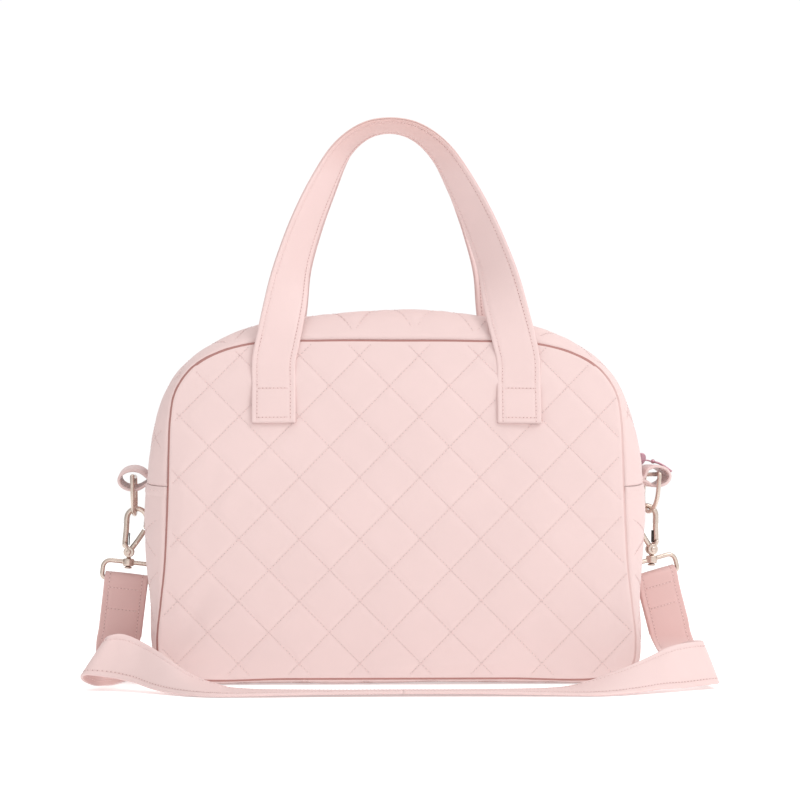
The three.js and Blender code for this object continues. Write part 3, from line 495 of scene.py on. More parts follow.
def tube(path, radius, sides=20, closed=False):
    """A round bar along path, with rounded ends where it is open."""
    path = np.asarray(path, float)
    radii = np.broadcast_to(np.asarray(radius, float), len(path)).copy()
    if not closed:
        start, end = unit(path[0] - path[1]), unit(path[-1] - path[-2])
        cap = np.radians([80, 55, 28])
        before = [path[0] + start * radii[0] * math.sin(a) for a in cap]
        after = [path[-1] + end * radii[-1] * math.sin(a) for a in cap[::-1]]
        radii = np.concatenate([radii[0] * np.cos(cap), radii, radii[-1] * np.cos(cap[::-1])])
        path = np.concatenate([before, path, after])
        tangents = unit(np.gradient(path, axis=0))
    else:
        tangents = unit(np.roll(path, -1, axis=0) - np.roll(path, 1, axis=0))
    normal = np.cross(tangents[0], [0, 1, 0] if abs(tangents[0][1]) < 0.9 else [1, 0, 0])
    angles = np.arange(sides) / sides * 2 * np.pi
    rings = []
    for point, tangent, r in zip(path, tangents, radii):
        normal = unit(normal - tangent * np.dot(normal, tangent))
        side = np.cross(tangent, normal)
        rings.append(point + r * (np.cos(angles)[:, None] * normal + np.sin(angles)[:, None] * side))
    faces = quads(len(rings), sides, wrap_rows=closed, wrap_columns=True)[:, ::-1].tolist()
    if not closed:
        faces.append(list(range(sides)))
        faces.append([(len(rings) - 1) * sides + i for i in range(sides)][::-1])
    return np.concatenate(rings), faces


def lathe(profile, start, direction, sides=32, closed=False):
    """Turns (distance along, radius) rows about an axis. The ends close on the axis unless closed."""
    direction = unit(np.asarray(direction, float))
    side = unit(np.cross(direction, [0.3, 0.1, 0.9]))
    other = np.cross(direction, side)
    angles = np.arange(sides) / sides * 2 * np.pi
    spokes = np.cos(angles)[:, None] * side + np.sin(angles)[:, None] * other
    rings = [np.asarray(start) + a * direction + r * spokes for a, r in profile]
    faces = quads(len(rings), sides, wrap_rows=closed, wrap_columns=True).tolist()
    if not closed:
        faces.append(list(range(sides))[::-1])
        faces.append([(len(rings) - 1) * sides + i for i in range(sides)])
    return np.concatenate(rings), faces


def disc(radius, half, centre, direction, bevel=0.4, sides=32):
    profile = [(-half, radius - bevel), (-half + 0.3 * bevel, radius - 0.3 * bevel), (-half + bevel, radius)]
    profile += [(half - bevel, radius), (half - 0.3 * bevel, radius - 0.3 * bevel), (half, radius - bevel)]
    return lathe(profile, centre, direction, sides)


def block(low, high):
    (x0, y0, z0), (x1, y1, z1) = low, high
    points = np.array([(x, y, z) for x in (x0, x1) for y in (y0, y1) for z in (z0, z1)], float)
    faces = [[0, 1, 3, 2], [4, 6, 7, 5], [0, 4, 5, 1], [2, 3, 7, 6], [0, 2, 6, 4], [1, 5, 7, 3]]
    return points, faces


def paint(obj, material, mask):
    """Gives a second material to the faces where mask is true."""
    obj.data.materials.append(material)
    obj.data.polygons.foreach_set("material_index", np.asarray(mask).astype(np.int32))


def moved(part, matrix):
    points, faces = part
    turned = np.asarray(points) @ matrix[:3, :3].T + matrix[:3, 3]
    if np.linalg.det(matrix[:3, :3]) < 0:
        faces = [list(face)[::-1] for face in faces]
    return turned, faces


def apply_modifiers(obj):
    graph = bpy.context.evaluated_depsgraph_get()
    mesh = bpy.data.meshes.new_from_object(obj.evaluated_get(graph))
    obj.modifiers.clear()
    obj.data = mesh
    mesh.shade_smooth()


def cast(name, parts, slot, body, replaced, voxel=0.32, easing=5):
    """Metal pieces fused into one smooth casting."""
    points, faces = join_parts(parts)
    obj = make(name, points, faces, MATERIALS[slot], slot, None, replaced)
    fuse = obj.modifiers.new("fuse", "REMESH")
    fuse.mode, fuse.voxel_size = "VOXEL", voxel * MM
    ease = obj.modifiers.new("ease", "SMOOTH")
    ease.factor, ease.iterations = 0.5, easing
    apply_modifiers(obj)
    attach(obj, body)
    return obj


def stitches(name, centres, along, out, slot, body, length=STITCH_LENGTH, radius=STITCH_RADIUS, hole=None):
    """One small arched thread per row, its ends drawn into the leather, and after each a dark disc of painted
    shade where its needle hole is.
    """
    centres, along, out = np.asarray(centres), unit(np.asarray(along)), unit(np.asarray(out))
    along = unit(along - out * np.sum(along * out, axis=1, keepdims=True))
    side = np.cross(out, along)
    places = np.array([-0.5, -0.36, 0, 0.36, 0.5]) * length
    heights = np.array([-1.3, -0.1, 0.35, -0.1, -1.3]) * radius + STITCH_LIFT
    widths = np.array([0.45, 0.95, 1.1, 0.95, 0.45]) * radius
    angles = np.arange(6) / 6 * 2 * np.pi
    rings = []
    for place, height, width in zip(places, heights, widths):
        middle = centres + place * along + height * out
        for a in angles:
            rings.append(middle + width * (math.cos(a) * side + math.sin(a) * out))
    points = np.stack(rings, 1).reshape(-1, 3)
    one = quads(5, 6, wrap_columns=True).tolist() + [[5, 4, 3, 2, 1, 0], [24, 25, 26, 27, 28, 29]]
    faces = [[i + 30 * k for i in face] for k in range(len(centres)) for face in one]
    threads, start = len(faces), len(points)
    hole_middle = centres + HOLE_AHEAD * length * along
    around = np.arange(8) / 8 * 2 * np.pi
    rim = [
        hole_middle + HOLE_LONG * math.cos(a) * along + HOLE_WIDE * math.sin(a) * side + 0.04 * out for a in around
    ]
    dots = np.stack([*rim, hole_middle + (STITCH_LIFT + 0.1) * out], 1)
    for k in range(len(centres)):
        faces += [[start + 9 * k + i, start + 9 * k + (i + 1) % 8, start + 9 * k + 8] for i in range(8)]
    obj = make(name, np.concatenate([points, dots.reshape(-1, 3)]), faces, THREAD, slot, body)
    paint(obj, hole or SOFT_HOLE_SHADE, np.arange(len(faces)) >= threads)
    return obj


# ---- The outline ----
def mirrored(row):
    return (-row[0], *row[1:])


ROWS = np.array([mirrored(OUTLINE[1]), *OUTLINE, mirrored(OUTLINE[-2])], float)
PLACES = np.concatenate([[0], np.cumsum(np.hypot(np.diff(ROWS[:, 0]), np.diff(ROWS[:, 1])))])
FIRST = PLACES[1]
HALF = PLACES[-2] - FIRST
TAB_PLACE = PLACES[TAB_SEAM_ROW + 1] - FIRST


def outline_at(t):
    i1 = np.clip(np.searchsorted(PLACES, t, side="right"), 2, len(PLACES) - 2)
    t0, t1 = PLACES[i1 - 1], PLACES[i1]
    half = (t1 - t0) / 2
    w_before, w_after = half / (t0 - PLACES[i1 - 2]), half / (PLACES[i1 + 1] - t1)
    p = (t - t0) / (t1 - t0)
    pp, ppp = p * p, p * p * p
    before = -w_before * ppp + 2 * w_before * pp - w_before * p
    first = (1 + w_before) * ppp + (-1.5 - 2 * w_before) * pp + (-0.5 + w_before) * p + 1
    second = (-1 - w_after) * ppp + (1.5 + w_after) * pp + 0.5 * p
    after = w_after * ppp - w_after * pp
    weights = (before, first, second, after)
    return sum(w[..., None] * ROWS[i1 + k] for w, k in zip(weights, (-2, -1, 0, 1)))


def seam_point(place):
    place = np.asarray(place, float)
    on_left = place > HALF
    half = np.where(on_left, 2 * HALF - place, place)
    values = outline_at(FIRST + np.abs(half))
    values[..., 0] *= np.where(on_left != (half < 0), -1, 1)
    return values


def seam_depth(z):
    return SEAM_DEPTH_FOOT - PANEL_LEAN * (z - PANEL_FOOT)


def crest_depth(z):
    return CREST_DEPTH_FOOT + (CREST_DEPTH_TOP - CREST_DEPTH_FOOT) * z / PANEL_TOP


class Stations:
    """Rows across the gusset at these places round the seam."""

    def __init__(self, places):
        self.places = np.asarray(places, float)
        self.x, self.z, self.rise, self.sink = np.moveaxis(seam_point(self.places), -1, 0)
        way = (seam_point(self.places + 0.5) - seam_point(self.places - 0.5))[..., :2]
        way = unit(way)
        self.out_x, self.out_z = way[..., 1], -way[..., 0]
        x, z = np.abs(self.x) - ZIP_ARC[0], self.z - ZIP_ARC[1]
        along = x * np.abs(self.out_x) + z * self.out_z
        to_arc = np.sqrt(np.maximum(ZIP_ARC[2] ** 2 - x * x - z * z + along * along, 0)) - along
        on_arc = smoothstep(np.abs(self.x), 85, 112) * smoothstep(self.z, 150, 166)
        self.middle = (self.rise - self.sink) * (1 - on_arc) + to_arc * on_arc

    def swell(self, depth):
        """Height of the gusset over the seam, for depths of shape (rows, columns)."""
        crest, seam = crest_depth(self.z)[:, None], seam_depth(self.z)[:, None]
        rise, middle = self.rise[:, None], self.middle[:, None]
        a = np.abs(depth)
        outside = rise * np.sin(np.pi / 2 * np.clip((seam - a) / (seam - crest), -0.2, 1))
        inside = middle + (rise - middle) * smoothstep(a / crest, FLAT_MIDDLE, 1)
        return np.where(a > crest, outside, inside)

    def points(self, depth, lift):
        """Points at these depths, lift above the gusset's outside along the surface normal."""
        bare = self.place(depth, self.swell(depth))
        normal = grid_normals(bare)
        out = np.stack([self.out_x, np.zeros_like(self.x), self.out_z], -1)[:, None]
        normal = np.where(np.sum(normal * out, -1, keepdims=True) < 0, -normal, normal)
        return bare + normal * np.asarray(lift)[..., None], normal

    def place(self, depth, reach):
        x = self.x[:, None] + self.out_x[:, None] * reach
        z = self.z[:, None] + self.out_z[:, None] * reach
        tabs = np.array([TAB_PLACE, -TAB_PLACE, 2 * HALF - TAB_PLACE])
        from_tab = np.abs(self.places[:, None] - tabs).min(axis=1)[:, None]
        towards_panel = smoothstep(np.abs(depth) / crest_depth(self.z)[:, None], 0.45, 1.45)
        z = z - TAB_SEAM_DIP * np.exp(-((from_tab / 24) ** 2)) * towards_panel
        return np.stack([x, depth * np.ones_like(x), z], -1)


def edge_distance(x, z):
    """Distance from points inside the panel to its seam."""
    seam = seam_point(np.linspace(0, 2 * HALF, 900, endpoint=False))[:, :2]
    flat = np.stack([np.ravel(x), np.ravel(z)], -1)
    best = np.empty(len(flat))
    for start in range(0, len(flat), 4000):
        part = flat[start : start + 4000]
        best[start : start + 4000] = np.sqrt(((part[:, None] - seam[None]) ** 2).sum(-1).min(1))
    return best.reshape(np.shape(x))


# ---- Quilting ----
def quilt(u, v):
    """Puff of the quilting at lattice coordinates u, v, in millimetres: zero along the stitched lines."""
    period_u, period_v = QUILT_PERIOD
    spacing = 1 / math.hypot(1 / period_u, 1 / period_v)
    puff = 1.0
    for way in (1, -1):
        line = u / period_u + way * v / period_v
        distance = np.abs(line - np.round(line)) * spacing
        puff = puff * (1 - np.exp(-((distance / QUILT_GROOVE) ** 1.9)))
    return QUILT_PUFF * (puff - 1)


def quilt_rows(u_span, v_span):
    """Stitch middles and directions on the lattice lines over a rectangle of u and v."""
    period_u, period_v = QUILT_PERIOD
    centres, ways = [], []
    for way in (1, -1):
        direction = np.array([period_u, -way * period_v]) / math.hypot(period_u, period_v)
        corners = [u / period_u + way * v / period_v for u in u_span for v in v_span]
        for line in range(math.ceil(min(corners)), math.floor(max(corners)) + 1):
            middle = np.array([line * period_u, 0.0])
            reach = abs(u_span[1] - u_span[0]) + abs(v_span[1] - v_span[0]) + abs(line * period_u)
            steps = np.arange(-math.ceil(reach / STITCH_PITCH), math.ceil(reach / STITCH_PITCH)) + 0.5
            dots = middle + steps[:, None] * STITCH_PITCH * direction
            keep = (dots[:, 0] > u_span[0]) & (dots[:, 0] < u_span[1])
            keep &= (dots[:, 1] > v_span[0]) & (dots[:, 1] < v_span[1])
            centres.append(dots[keep])
            ways.append(np.tile(direction, (keep.sum(), 1)))
    return np.concatenate(centres), np.concatenate(ways)


# ---- Panels ----
def creases(x, z, side):
    """The soft hollows and folds that handling has left in a panel."""
    across = x * -side
    folds = 0.9 * np.sin(x / 61 + 0.8) * np.sin(z / 47 + 1.9) + 0.45 * np.sin(x / 27 - z / 33)
    for cx, cz, angle, long, wide, depth in CREASES:
        turn = math.radians(angle)
        along = (across - cx) * math.cos(turn) + (z - cz) * math.sin(turn)
        over = -(across - cx) * math.sin(turn) + (z - cz) * math.cos(turn)
        folds -= depth * np.exp(-((along / long) ** 2) - (over / wide) ** 2)
    return folds


CREASES = [
    (168, 128, 6, 26, 5, 1.1), (162, 118, -4, 22, 4, 0.7), (-160, 62, 62, 30, 8, 1.3), (-150, 150, 80, 45, 9, 0.9),
    (-120, 30, 20, 40, 8, 0.8), (120, 26, -14, 42, 8, 0.9), (172, 60, 84, 34, 7, 0.9), (20, 22, 3, 70, 7, 0.6),
    (-70, 252, -8, 40, 7, 0.6), (60, 256, 5, 46, 7, 0.6),
]


def panel_lift(x, z, side):
    """How far a panel stands outside its seam's plane."""
    distance = edge_distance(x, z)
    inner = smoothstep(distance, 0, 14)
    bulge = PANEL_BULGE * (1 - np.exp(-distance / PANEL_BULGE_REACH))
    roll = -1.8 * (1 - smoothstep(distance, 0, 2.4))
    puff = quilt(x * -side - QUILT_CROSSING[0], z - QUILT_CROSSING[1]) * smoothstep(distance, 0.5, 6)
    return bulge + roll + puff + creases(x, z, side) * inner


def panel_point(x, z, side, lift):
    return np.stack([x, side * (seam_depth(z) + lift), z], -1)


def panel_grid(cells_across, cells_up):
    """Rows and columns that follow the seam at the edge and run square in the middle."""
    u, v = np.meshgrid(np.linspace(-1, 1, cells_across), np.linspace(-1, 1, cells_up))
    r = np.maximum(np.maximum(np.abs(u), np.abs(v)), 1e-6)
    bottom, shoulder = PLACES[4] - FIRST, PLACES[15] - FIRST
    a, b = u / r, v / r
    right = bottom + (shoulder - bottom) * (b + 1) / 2
    top = shoulder + (2 * HALF - 2 * shoulder) * (1 - a) / 2
    low = a * bottom
    left = 2 * HALF - right
    on_right, on_left, on_top = a >= 0.99999, a <= -0.99999, b >= 0.99999
    place = np.select([on_right, on_left, on_top], [right, left, top], low)
    rim = seam_point(place)[..., :2]
    centre = np.array([0, 140.0])
    grid = centre + r[..., None] * (rim - centre)
    return grid[..., 0], grid[..., 1]


def add_panel(name, side):
    x, z = panel_grid(*PANEL_CELLS)
    outer = panel_point(x, z, side, panel_lift(x, z, side))
    inner = panel_point(x, z, side, np.full_like(x, -WALL))
    if side > 0:
        outer, inner = outer[:, ::-1], inner[:, ::-1]
    points, faces = shell(outer, inner)
    slot = "panel_leather"
    panel = make(f"{name}_quilted_panel", points, faces, MATERIALS[slot], slot, ROOT, [f"{name}_panel"])
    # The outermost ring of faces gets the seam's painted shade.
    rim = np.ones((x.shape[0] - 1, x.shape[1] - 1), bool)
    rim[1:-1, 1:-1] = False
    paint(panel, SEAM_SHADE, np.concatenate([rim.ravel(), np.zeros(len(faces) - rim.size, bool)]))

    reach, top = PANEL_REACH
    dots, ways = quilt_rows((-reach - QUILT_CROSSING[0], reach - QUILT_CROSSING[0]), (-40, 240))
    x, z = -side * (dots[:, 0] + QUILT_CROSSING[0]), dots[:, 1] + QUILT_CROSSING[1]
    right_seam = seam_point(np.linspace(0, 2 * HALF, 1400))[:700]
    width = np.interp(z, right_seam[:, 1], right_seam[:, 0])
    keep = (np.abs(x) < width - SEAM_MARGIN) & (z > PANEL_FOOT + SEAM_MARGIN) & (z < top)
    x, z, ways = x[keep], z[keep], ways[keep]
    keep = edge_distance(x, z) > SEAM_MARGIN
    x, z, ways = x[keep], z[keep], ways[keep]
    step = SURFACE_STEP
    here = panel_point(x, z, side, panel_lift(x, z, side))
    right = panel_point(x + step, z, side, panel_lift(x + step, z, side))
    above = panel_point(x, z + step, side, panel_lift(x, z + step, side))
    out = unit(np.cross(right - here, above - here)) * -side
    out = np.where((out[:, 1] * side < 0)[:, None], -out, out)
    along = (right - here) / step * (-side * ways[:, :1]) + (above - here) / step * ways[:, 1:]
    stitches(f"{name}_panel_quilting", here, along, out, slot, ROOT)


# ---- Gussets ----
def gusset_depths(stations, inner_edge, columns):
    """Depths from just inside the seam to an inner edge."""
    edge = seam_depth(stations.z) - 0.5
    share = np.linspace(0, 1, columns)
    return edge[:, None] + (inner_edge - edge)[:, None] * share[None]


def gusset_folds(places, depth):
    return 0.5 * np.sin(places / 37 + depth / 21) + 0.35 * np.sin(places / 19 - depth / 29 + 1.0)


def gusset_lift(stations, depth, zipped):
    """Quilting, soft folds and rolled edges of a gusset strip, over its CAD surface."""
    places = stations.places[:, None]
    inner = np.abs(depth[:, -1:])
    from_seam = seam_depth(stations.z)[:, None] - np.abs(depth)
    soft = smoothstep(from_seam, 1, 10)
    lift = quilt(depth, places) * soft + gusset_folds(places, depth) * soft
    lift -= 1.7 * (1 - smoothstep(from_seam, 0, 2.6))
    if zipped:
        fold = np.abs(depth) - inner
        lift = lift * smoothstep(fold, 1, 9) - 1.1 * (1 - smoothstep(fold, 0, 1.6))
        lift -= 0.45 * np.exp(-(((fold - 4.2) / 1.2) ** 2))
    from_end = np.minimum(places - places.min(), places.max() - places)
    if zipped:
        return lift * smoothstep(from_end, 0, 4) - 0.6 * (1 - smoothstep(from_end, 0, 1.5))
    overlap = 0.9 * (1 - smoothstep(from_end, 6, 9)) * smoothstep(from_end, 0, 0.9)
    return lift * smoothstep(from_end, 2, 8) + overlap - 0.35 * np.exp(-(((from_end - 4) / 1.2) ** 2))


def zip_topstitch(name, places, side):
    """A row of stitches along one fold of the zip's opening."""
    stations = Stations(places)
    row, fold = side * (ZIP_OPENING + ZIP_ROW), side * ZIP_OPENING
    depth = np.tile(row + np.array([-SURFACE_STEP, 0, SURFACE_STEP, fold - row]), (len(places), 1))
    lift = gusset_lift(stations, depth, True)[:, :3]
    points, normal = stations.points(depth[:, :3], lift)
    along = np.gradient(points[:, 1], axis=0)
    topstitch = (TOPSTITCH_LENGTH, TOPSTITCH_RADIUS)
    stitches(name, points[:, 1], along, normal[:, 1], "gusset_leather", ROOT, *topstitch)


def add_gusset(name, low, high, side, replaced):
    """A strip from the seam to the zip on one side, or with side 0 from seam to seam."""
    stations = Stations(np.linspace(low, high, int((high - low) / CELL) + 1))
    count = len(stations.places)
    if side:
        depth = side * gusset_depths(stations, np.full(count, ZIP_OPENING), 40)
    else:
        half = gusset_depths(stations, np.zeros(count), 48)
        depth = np.concatenate([-half, half[:, -2::-1]], 1)
    outer, normal = stations.points(depth, gusset_lift(stations, depth, bool(side)))
    inner = outer - normal * WALL
    outer[..., 2] = np.maximum(outer[..., 2], FLOOR_GAP)
    inner[..., 2] = np.maximum(inner[..., 2], INNER_FLOOR)
    if side <= 0:
        outer, inner = outer[:, ::-1], inner[:, ::-1]
    points, faces = shell(outer, inner)
    make(name, points, faces, MATERIALS["gusset_leather"], "gusset_leather", ROOT, replaced)
    quilt_gusset(f"{name}_quilting", stations, depth, bool(side))


def quilt_gusset(name, stations, depth, zipped):
    low, high = stations.places[0], stations.places[-1]
    dots, ways = quilt_rows((float(depth.min()), float(depth.max())), (low, high))
    order = np.argsort(dots[:, 1])
    dots, ways = dots[order], ways[order]
    keep = np.abs(dots[:, 0]) < seam_depth(Stations(dots[:, 1]).z) - 5
    if zipped:
        keep &= np.abs(dots[:, 0]) > ZIP_OPENING + 7
    keep &= (dots[:, 1] > low + 10) & (dots[:, 1] < high - 10)
    dots, ways = dots[keep], ways[keep]
    row = Stations(dots[:, 1])
    step = SURFACE_STEP

    def at(extra_depth, extra_place):
        here = Stations(dots[:, 1] + extra_place)
        d = (dots[:, 0] + extra_depth)[:, None]
        lift = quilt(d, here.places[:, None]) + gusset_folds(here.places[:, None], d)
        return here.place(d, here.swell(d) + lift)[:, 0]

    here, over, on = at(0, 0), at(step, 0), at(0, step)
    out = unit(np.cross(over - here, on - here))
    facing = np.stack([row.out_x, np.zeros_like(row.x), row.out_z], -1)
    out = np.where((np.sum(out * facing, -1) < 0)[:, None], -out, out)
    along = (over - here) / step * ways[:, :1] + (on - here) / step * ways[:, 1:]
    clear = here[:, 2] > 0.6  # none under the bag, where it stands on the floor
    stitches(name, here[clear], along[clear], out[clear], "gusset_leather", ROOT)


def add_gussets():
    low, high = TAB_PLACE + 0.3, 2 * HALF - TAB_PLACE - 0.3
    for name, side in (("front", -1), ("rear", 1)):
        add_gusset(f"top_gusset_{name}_quilted", low, high, side, [f"top_gusset_{name}"])
        zip_topstitch(f"zip_topstitch_{name}", np.arange(low + 3, high - 3, TOPSTITCH_PITCH), side)
    add_gusset("lower_gusset_quilted", -TAB_PLACE, TAB_PLACE, 0, ["lower_gusset"])
    limit = float(seam_depth(TAB_SEAM)) - SEAM_MARGIN
    depth = np.tile(np.arange(-limit, limit, TOPSTITCH_PITCH), (3, 1))
    for name, sign in (("right", 1), ("left", -1)):
        stations = Stations(sign * (TAB_PLACE - 4) + np.array([-0.5, 0, 0.5]))
        points, normal = stations.points(depth, np.full(depth.shape, 0.5))
        along = np.gradient(points[1], axis=0)
        stitches(
            f"tab_seam_topstitch_{name}", points[1], along, normal[1], "gusset_leather", ROOT,
            TOPSTITCH_LENGTH, TOPSTITCH_RADIUS,
        )


# ---- Zip ----
def add_zip_teeth():
    """A moulded coil: one rounded tooth after another on each tape, meshed over the middle."""
    low, high = TAB_PLACE + ZIP_FROM_TAB, 2 * HALF - TAB_PLACE - ZIP_FROM_TAB
    pitch = 1.9
    section = np.array([(-0.62, 0), (-0.5, 0.75), (-0.2, 1), (0.2, 1), (0.5, 0.75), (0.62, 0)])
    # A tooth's five sections: distance from the middle of the zip, share of the full width, share of the height.
    lobes = (3.25, 0.7, 0.5), (2.7, 1, 1), (0.3, 1, 1), (-0.35, 0.9, 0.8), (-0.6, 0.5, 0.35)
    for name, side in (("front", -1), ("rear", 1)):
        shift = 0 if side < 0 else pitch / 2
        stations = Stations(np.arange(low + 1 + shift, high - 1, pitch))
        parts = []
        for across, width, rise in lobes:
            base = -TEETH_UNDER - TEETH_HEIGHT + 0.05
            for along, height in section:
                reach = stations.middle + base + height * rise * (TEETH_HEIGHT - 0.1)
                way = np.stack([-stations.out_z, np.zeros_like(stations.x), stations.out_x], -1)
                point = stations.place(np.full((len(stations.x), 1), side * across), reach[:, None])[:, 0]
                parts.append(point + way * along * width)
        points = np.stack(parts, 1).reshape(-1, 3)
        one = quads(5, 6, wrap_columns=True)
        one = (one if side > 0 else one[:, ::-1]).tolist()
        ends = [[5, 4, 3, 2, 1, 0], [24, 25, 26, 27, 28, 29]]
        one += ends if side > 0 else [face[::-1] for face in ends]
        faces = [[i + 30 * k for i in face] for k in range(len(stations.x)) for face in one]
        make(f"zip_coil_{name}", points, faces, MATERIALS["zip_teeth"], "zip_teeth", ROOT, [f"zip_teeth_{name}"])


def translation(x, y, z):
    matrix = np.eye(4)
    matrix[:3, 3] = x, y, z
    return matrix


def turn(axis, degrees):
    return np.array(Matrix.Rotation(math.radians(degrees), 4, axis))


def slider_plate(low, high):
    """One of the slider's two rounded plates, from low to high outwards."""
    right = [(6.2, 3.2), (6.5, 0), (6.2, -3.2), (3.5, -4.4), (-3, -3.9), (-6.1, -3.1)]
    rows = [*right, (-6.5, 0), (-6.1, 3.1), (-3, 3.9), (3.5, 4.4)]
    outline = catmull([(0, y, up) for up, y in rows], 4, True)
    count = len(outline)
    layers = []
    for out, inset in ((low, 0.5), (low + 0.3, 0.05), (high - 0.3, 0.05), (high, 0.5)):
        ring = outline * (1 - inset / 5)
        ring[:, 0] = out
        layers.append(ring)
    faces = quads(4, count, wrap_columns=True).tolist()
    faces += [list(range(count))[::-1], [3 * count + i for i in range(count)]]
    return np.concatenate(layers), faces


def add_slider():
    x, z, radius = ZIP_ARC
    angle = math.radians(SLIDER_ANGLE)
    place = translation(x + radius * math.cos(angle), 0, z + radius * math.sin(angle)) @ turn("Y", -SLIDER_ANGLE)
    arch = [(1.6, -4.2), (3.6, -4.2), (5.6, -3.4), (7.6, -1.6), (8.9, 0.6), (9.0, 3.0), (7.8, 4.9), (5, 5.4)]
    bridge = catmull([(out, 0, up) for out, up in [*arch, (1.6, 5.3)]], 6)
    hood = block((5.4, -0.85, -1.4), (8.6, 0.85, 4.6))
    flanges = [block((-1.8, side * 4.4 - 0.4, -6), (1.0, side * 4.4 + 0.4, 1)) for side in (-1, 1)]
    post = block((-5.4, -0.5, 1.5), (0.6, 0.5, 5.5))
    parts = [slider_plate(0.2, 2.0), slider_plate(-6.8, -5.0), tube(bridge, 0.85, 12), hood, post, *flanges]
    parts = [moved(part, place) for part in parts]
    cast("zip_slider_body", parts, "zip_metal", "zip_slider", ["zip_slider"], 0.25, 3)

    pin_x, _, pin_z = (place @ np.array([3.3, 0, 0, 1]))[:3]
    bead = np.array([218.6, 0, 180.6])
    front = [(pin_x, 2.2, pin_z), (pin_x + 3, 2.2, pin_z), (pin_x + 7.2, 2, pin_z), (bead[0] - 1.4, 0.5, bead[2])]
    back = [(px, -py, pz) for px, py, pz in front[::-1]]
    bail = tube(catmull([back[-1], *front, *back[:-1]], 8, True), 0.6, 10, True)
    angles = np.linspace(0.05, math.pi - 0.05, 14)
    ball = lathe([(1.9 * -math.cos(a), 1.9 * math.sin(a)) for a in angles], bead, (1, 0, -0.2), 20)
    droop = np.array([(219.6, 0, 180.2), (224, 0, 178.9), (229, 0, 176), (234.4, 0, 172)], float)
    middle = catmull(droop, 8)
    tongue = band(middle, np.tile([0.0, 5.2, 0.0], (len(middle), 1)), 1.7, 6)
    cast("zip_pull_tag", [bail, ball, tongue], "zip_metal", "zip_pull", ["zip_pull"], 0.22, 3)


# ---- Bands: handles, straps and tabs ----
def band_frame(middle, width):
    tangent = unit(np.gradient(middle, axis=0))
    across = unit(width)
    lift = unit(np.cross(tangent, across))
    return tangent, across, lift


def band(middle, width, thickness, columns=26, rows_in=(), puff=0.0, parted=False):
    """A flat strip with rounded edges, parted in two layers if it is sewn from two. rows_in are distances
    from its edges where stitches draw it in."""
    tangent, across, lift = band_frame(middle, width)
    half = np.linalg.norm(width, axis=1) / 2
    radius = thickness / 2
    flat = np.linspace(-1, 1, columns)
    arc = [(math.sin(a), math.cos(a)) for a in np.radians([65, 35, 0, -35, -65])]
    if parted:
        arc = [*arc[:2], (0.36, 0.93), (0.2, 0.8), (0, 0.1), (-0.2, 0.8), (-0.36, 0.93), *arc[3:]]
    top = [(share, 1, 0) for share in flat]
    right = [(1, height, out) for height, out in arc]
    bottom = [(share, -1, 0) for share in flat[::-1]]
    left = [(-1, -height, -out) for height, out in arc]
    rings = []
    for share, height, out in [*top, *right, *bottom, *left]:
        side = share * (half - radius * 0.9) + out * radius * 0.9
        depth = radius * height
        if not out:
            from_edge = half - np.abs(side)
            for row in rows_in:
                depth = depth - np.sign(height) * 0.32 * np.exp(-(((from_edge - row) / 1.1) ** 2))
            depth = depth + np.sign(height) * puff * (1 - share * share)
        rings.append(middle + across * side[:, None] + lift * np.broadcast_to(depth, side.shape)[:, None])
    sections = np.stack(rings, 1)
    count = sections.shape[1]
    faces = quads(len(middle), count, wrap_columns=True).tolist()
    faces += [list(range(count))[::-1], [(len(middle) - 1) * count + i for i in range(count)]]
    return sections.reshape(-1, 3), faces


def band_rows(middle, width, thickness, offsets):
    """Stitch middles, directions and outward directions along rows at offsets from the band's middle."""
    path = resample(np.concatenate([middle, width], 1), TOPSTITCH_PITCH)
    middle, width = path[1:-1, :3], path[1:-1, 3:]
    tangent, across, lift = band_frame(middle, width)
    centres, along, out = [], [], []
    for offset in offsets:
        for face in (1, -1):
            centres.append(middle + across * offset + lift * face * (thickness / 2 - 0.2))
            along.append(tangent)
            out.append(lift * face)
    return [np.concatenate(rows) for rows in (centres, along, out)]


def cross_rows(middle, width, thickness, at, offsets, puff):
    """Stitches across a band at these rows of its middle line."""
    tangent, across, lift = band_frame(middle, width)
    centres, along, out = [], [], []
    for row in at:
        for offset in offsets:
            for face in (1, -1):
                height = thickness / 2 + puff * (1 - (2 * offset / STRAP_WIDTH) ** 2) - 0.05
                centres.append(middle[row] + across[row] * offset + lift[row] * face * height)
                along.append(across[row])
                out.append(lift[row] * face)
    return [np.array(rows) for rows in (centres, along, out)]


def sew(name, middle, width, thickness, at, puff, slot):
    """Topstitching of a handle or strap: a row along each edge, and one across it at each of these rows."""
    reach = STRAP_WIDTH / 2 - EDGE_ROW
    long_rows = band_rows(middle, width, thickness, (-reach, reach))
    crosses = cross_rows(middle, width, thickness, at, np.arange(-reach + 3, reach - 1, 3.0), puff)
    rows = [np.concatenate(pair) for pair in zip(long_rows, crosses)]
    return stitches(name, *rows, slot, None, TOPSTITCH_LENGTH, BAND_STITCH_RADIUS, DEEP_HOLE_SHADE)


